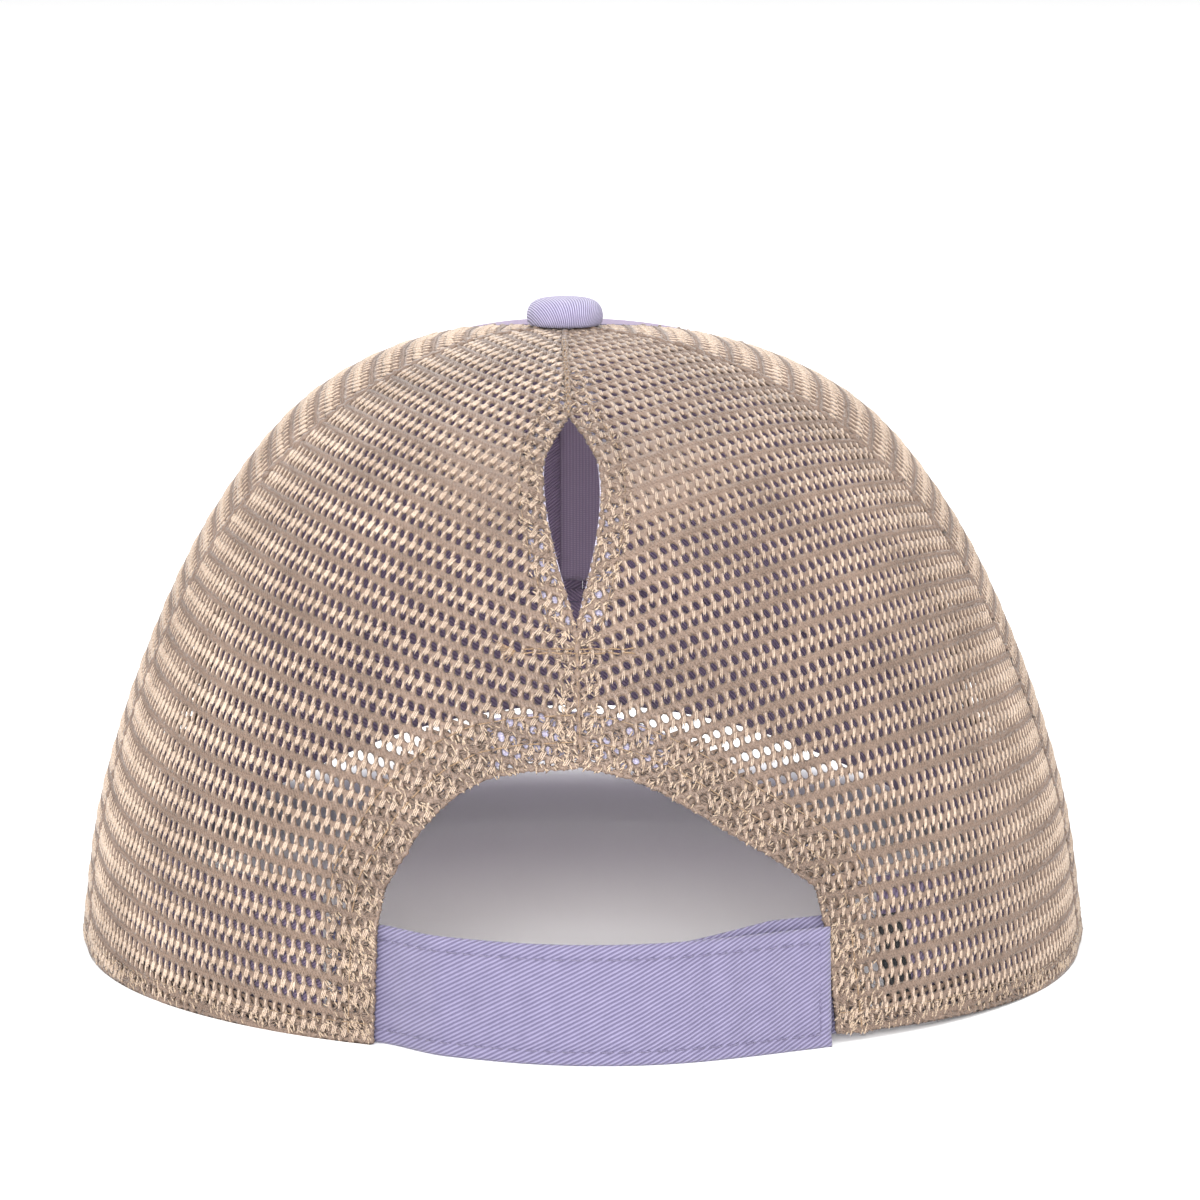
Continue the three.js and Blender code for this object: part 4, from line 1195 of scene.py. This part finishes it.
BUTTON_TUCK = 1.5
BUTTON_SQUARE = 0.5
BUTTON_SHOULDER = 0.85
angles = np.linspace(0, np.pi / 2, 20)
crest = LAYER_GAP + CROWN_HEIGHT
tuck = BUTTON_TUCK
profile = [(0.0, crest), (BUTTON_RADIUS * 0.5, crest), (BUTTON_RADIUS * 0.9, crest),
           (BUTTON_RADIUS * 0.97, crest + 0.35 * tuck)]
profile += [(BUTTON_RADIUS * max(0.0, math.cos(a)) ** BUTTON_SQUARE,
             crest + tuck + (BUTTON_HEIGHT - tuck) * math.sin(a) ** BUTTON_SHOULDER) for a in angles]
profile[-1] = (0.0, crest + BUTTON_HEIGHT)
profile = np.array(profile)
SPOKES = 72
spin = np.linspace(0, 2 * np.pi, SPOKES, endpoint=False)
gather = 1 + 0.012 * np.sin(9 * spin)[None] * (profile[:, 1] < crest + 2)[:, None]
ring = np.stack([
    BUTTON_OFFSET + profile[1:-1, :1] * np.cos(spin) * gather[1:-1],
    profile[1:-1, :1] * np.sin(spin) * gather[1:-1],
    np.repeat(profile[1:-1, 1:], SPOKES, 1)], -1)
poles = [[BUTTON_OFFSET, 0, crest], [BUTTON_OFFSET, 0, crest + BUTTON_HEIGHT]]
points = np.concatenate([ring.reshape(-1, 3), poles])
k = np.arange(ring.shape[0] * SPOKES).reshape(-1, SPOKES)
turned = np.roll(k, -1, axis=1)
quads = np.stack([k[:-1], turned[:-1], turned[1:], k[1:]], -1).reshape(-1, 4)
caps = np.array([[len(points) - 2, b, a] for a, b in zip(k[0], turned[0])]
                + [[len(points) - 1, a, b] for a, b in zip(k[-1], turned[-1])])
spoke = points[:, :2] - [BUTTON_OFFSET, 0]
spoke /= np.linalg.norm(spoke, axis=1)[:, None] + 1e-9
drop = BUTTON_RADIUS - np.linalg.norm(points[:, :2] - [BUTTON_OFFSET, 0], axis=1)
uv = spoke * (BUTTON_RADIUS - drop + crest + BUTTON_HEIGHT - points[:, 2])[:, None]
button = add_mesh("button_cloth", points, facing_out(points, [quads, caps]), BUTTON, uv)
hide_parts("button")


# Strap and its fastener

def strap_bow(azimuth):
    return STRAP_BOW * np.cos(np.radians(90 * np.minimum(1, np.abs(azimuth) / STRAP_BOW_ANGLE))) ** 2


def outer_depth(azimuth):
    share = np.clip((azimuth - STRAP_TUCK_START + STRAP_TUCK_LENGTH) / STRAP_TUCK_LENGTH, 0, 1)
    tuck = share * share * (3 - 2 * share)
    return OUTER_STRAP_DEPTH + (INNER_STRAP_DEPTH - OUTER_STRAP_DEPTH) * tuck - strap_bow(azimuth)


INNER_DROP = 1.8


def end_slant(height):
    """How far the free end reaches on with height, in degrees, so that it stands upright."""
    return STRAP_END_SLANT * (height / STRAP_WIDTH - 0.4)


def strap(start, end, low, high, depth_of, stitch=0.0):
    def surface(u, v, depth):
        azimuth = start + (end - start) * u
        if depth_of is outer_depth:
            azimuth = azimuth - end_slant(v * STRAP_WIDTH) * (1 - u) ** 4
        top = high if high <= STRAP_WIDTH else high - INNER_DROP * np.clip((azimuth + 20) / 10, 0, 1)
        height = low + (top - low) * v
        edge = np.minimum(height - low, top - height)
        ends = np.radians(np.minimum(np.abs(azimuth - start), 99)) * CROWN_HALF_WIDTH
        groove = stitch * (np.exp(-((edge - 2.2) / 0.45) ** 2) + np.exp(-((ends - 2.2) / 0.45) ** 2))
        ripple = 0.12 * np.sin(azimuth * 1.3) * np.sin(np.pi * v)
        front_side = depth < STRAP_WALL / 2
        return crown_at_height(azimuth, height, depth_of(azimuth) + depth + front_side * (groove - ripple))
    return surface


along_strap = np.linspace(0, 1, 80)
up_strap = np.unique(np.concatenate([np.linspace(0, 1, 31), [0.018, 0.982]]))
along_strap = np.unique(np.concatenate([along_strap, [0.003, 0.997]]))
PILE_GRID = (np.linspace(0, 1, 20), np.linspace(0, 1, 7))
for name, material, start, end, low, high, depth_of, stitch in (
        ("strap_outer", TWILL, -STRAP_FREE_END, STRAP_LEFT_END, 0.0, STRAP_WIDTH, outer_depth, 0.28),
        ("strap_inner", TWILL, -INNER_STRAP_END, INNER_STRAP_TIP, INNER_STRAP_RISE,
         STRAP_WIDTH + INNER_STRAP_RISE, lambda a: INNER_STRAP_DEPTH - strap_bow(a), 0.2),
        ("loop_tape", PILE, FASTENER_FROM, FASTENER_TO, FASTENER_MARGIN, STRAP_WIDTH - FASTENER_MARGIN,
         lambda a: LOOP_DEPTH - strap_bow(a), 0.0),
        ("hook_tape", PILE, FASTENER_FROM, FASTENER_TO, FASTENER_MARGIN, STRAP_WIDTH - FASTENER_MARGIN,
         lambda a: HOOK_DEPTH - strap_bow(a), 0.0)):
    wall = FASTENER_WALL if material is PILE else STRAP_WALL
    across, down = PILE_GRID if material is PILE else (along_strap, up_strap)
    surface = strap(start, end, low, high, depth_of, stitch)
    piece = slab(f"{name}_cloth", material, surface, across, down, wall, 0.42)
    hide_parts(name)

azimuth = np.linspace(-STRAP_FREE_END + 1.6, STRAP_LEFT_END - 1.5, 300)
lines = []
for height in (2.2, STRAP_WIDTH - 2.2):
    line = crown_at_height(azimuth, height + 0 * azimuth, outer_depth(azimuth) + 0.1)
    lines += stitches(line, 2.9, 2.2, 0.15)
height = np.linspace(2.2, STRAP_WIDTH - 2.2, 60)
end_azimuth = -STRAP_FREE_END + 1.45 - end_slant(height)
lines += stitches(crown_at_height(end_azimuth, height, outer_depth(end_azimuth) + 0.1), 2.9, 2.2, 0.15)
strap_stitches = add_mesh("strap_stitches", *join(lines), TWILL_THREAD)


# Floor, light and camera

FLOOR_HALF = 6.0
floor_mesh = bpy.data.meshes.new("floor")
corners = [(x * FLOOR_HALF, y * FLOOR_HALF, 0) for x, y in ((-1, -1), (1, -1), (1, 1), (-1, 1))]
floor_mesh.from_pydata(corners, [], [(0, 1, 2, 3)])
floor = bpy.data.objects.new("floor", floor_mesh)
bpy.context.scene.collection.objects.link(floor)
paper = Shader("white_paper", Roughness=0.9)
tone = paper.ramp(paper.noise(3.0, 2), (0.0, (0.9, 0.9, 0.9, 1)), (1.0, (0.93, 0.93, 0.93, 1)))
floor.data.materials.append(paper.finish(tone))

world = bpy.data.worlds.new("studio")
bpy.context.scene.world = world
world.use_nodes = True
world.node_tree.nodes["Background"].inputs["Color"].default_value = (1, 1, 1, 1)
world.node_tree.nodes["Background"].inputs["Strength"].default_value = 0.95

centre = Vector((0.0, SHIFT[1] / 1000, 0.05))


def add_light(name, kind, place, power, aimed=True):
    """A lamp at a place. An aimed one faces the middle of the cap, another one faces down."""
    lamp = bpy.data.lights.new(name, kind)
    lamp.energy = power
    holder = bpy.data.objects.new(name, lamp)
    holder.location = place
    if aimed:
        holder.rotation_mode = "QUATERNION"
        holder.rotation_quaternion = (centre - Vector(place)).to_track_quat("-Z", "Y")
    bpy.context.scene.collection.objects.link(holder)
    return holder


for name, place, size, power in (
        ("top_light", (0.1, 0.3, 1.3), 1.0, 7.0),
        ("left_light", (1.2, 0.9, 0.7), 0.8, 4.2),
        ("right_light", (-1.2, 0.9, 0.6), 0.8, 3.5),
        ("back_light", (0.1, 1.5, 0.38), 0.6, 30.0)):
    add_light(name, "AREA", centre + Vector(place), power).data.size = size
add_light("backdrop_light", "AREA", (0.0, -1.9, 1.8), 60.0, False).data.size = 2.5

inside_light = add_light("inside_light", "POINT", centre + Vector((0.0, -0.01, 0.01)), 0.024, False)
inside_light.data.shadow_soft_size = 0.025
inside_light.data.color = (1.0, 0.9, 0.87)
inside_light.visible_camera = False

CAMERA_DISTANCE = 900.0
CAMERA_ELEVATION = 11.965
CAMERA_LENS = 155.7
CAMERA_AIM = (-2.98, 0.0, 57.5)
camera_data = bpy.data.cameras.new("camera")
camera_data.lens, camera_data.sensor_width = CAMERA_LENS, 36.0
camera_data.clip_start, camera_data.clip_end = 0.05, 50.0
camera = bpy.data.objects.new("camera", camera_data)
bpy.context.scene.collection.objects.link(camera)
rise = math.radians(CAMERA_ELEVATION)
stand = np.array([0, math.cos(rise), math.sin(rise)]) * CAMERA_DISTANCE
camera.location = (stand + SHIFT) / 1000
aim = (np.array(CAMERA_AIM) + SHIFT) / 1000
camera.rotation_mode = "QUATERNION"
camera.rotation_quaternion = (Vector(aim) - camera.location).to_track_quat("-Z", "Y")
bpy.context.scene.camera = camera
bpy.context.scene.view_settings.view_transform = "Standard"
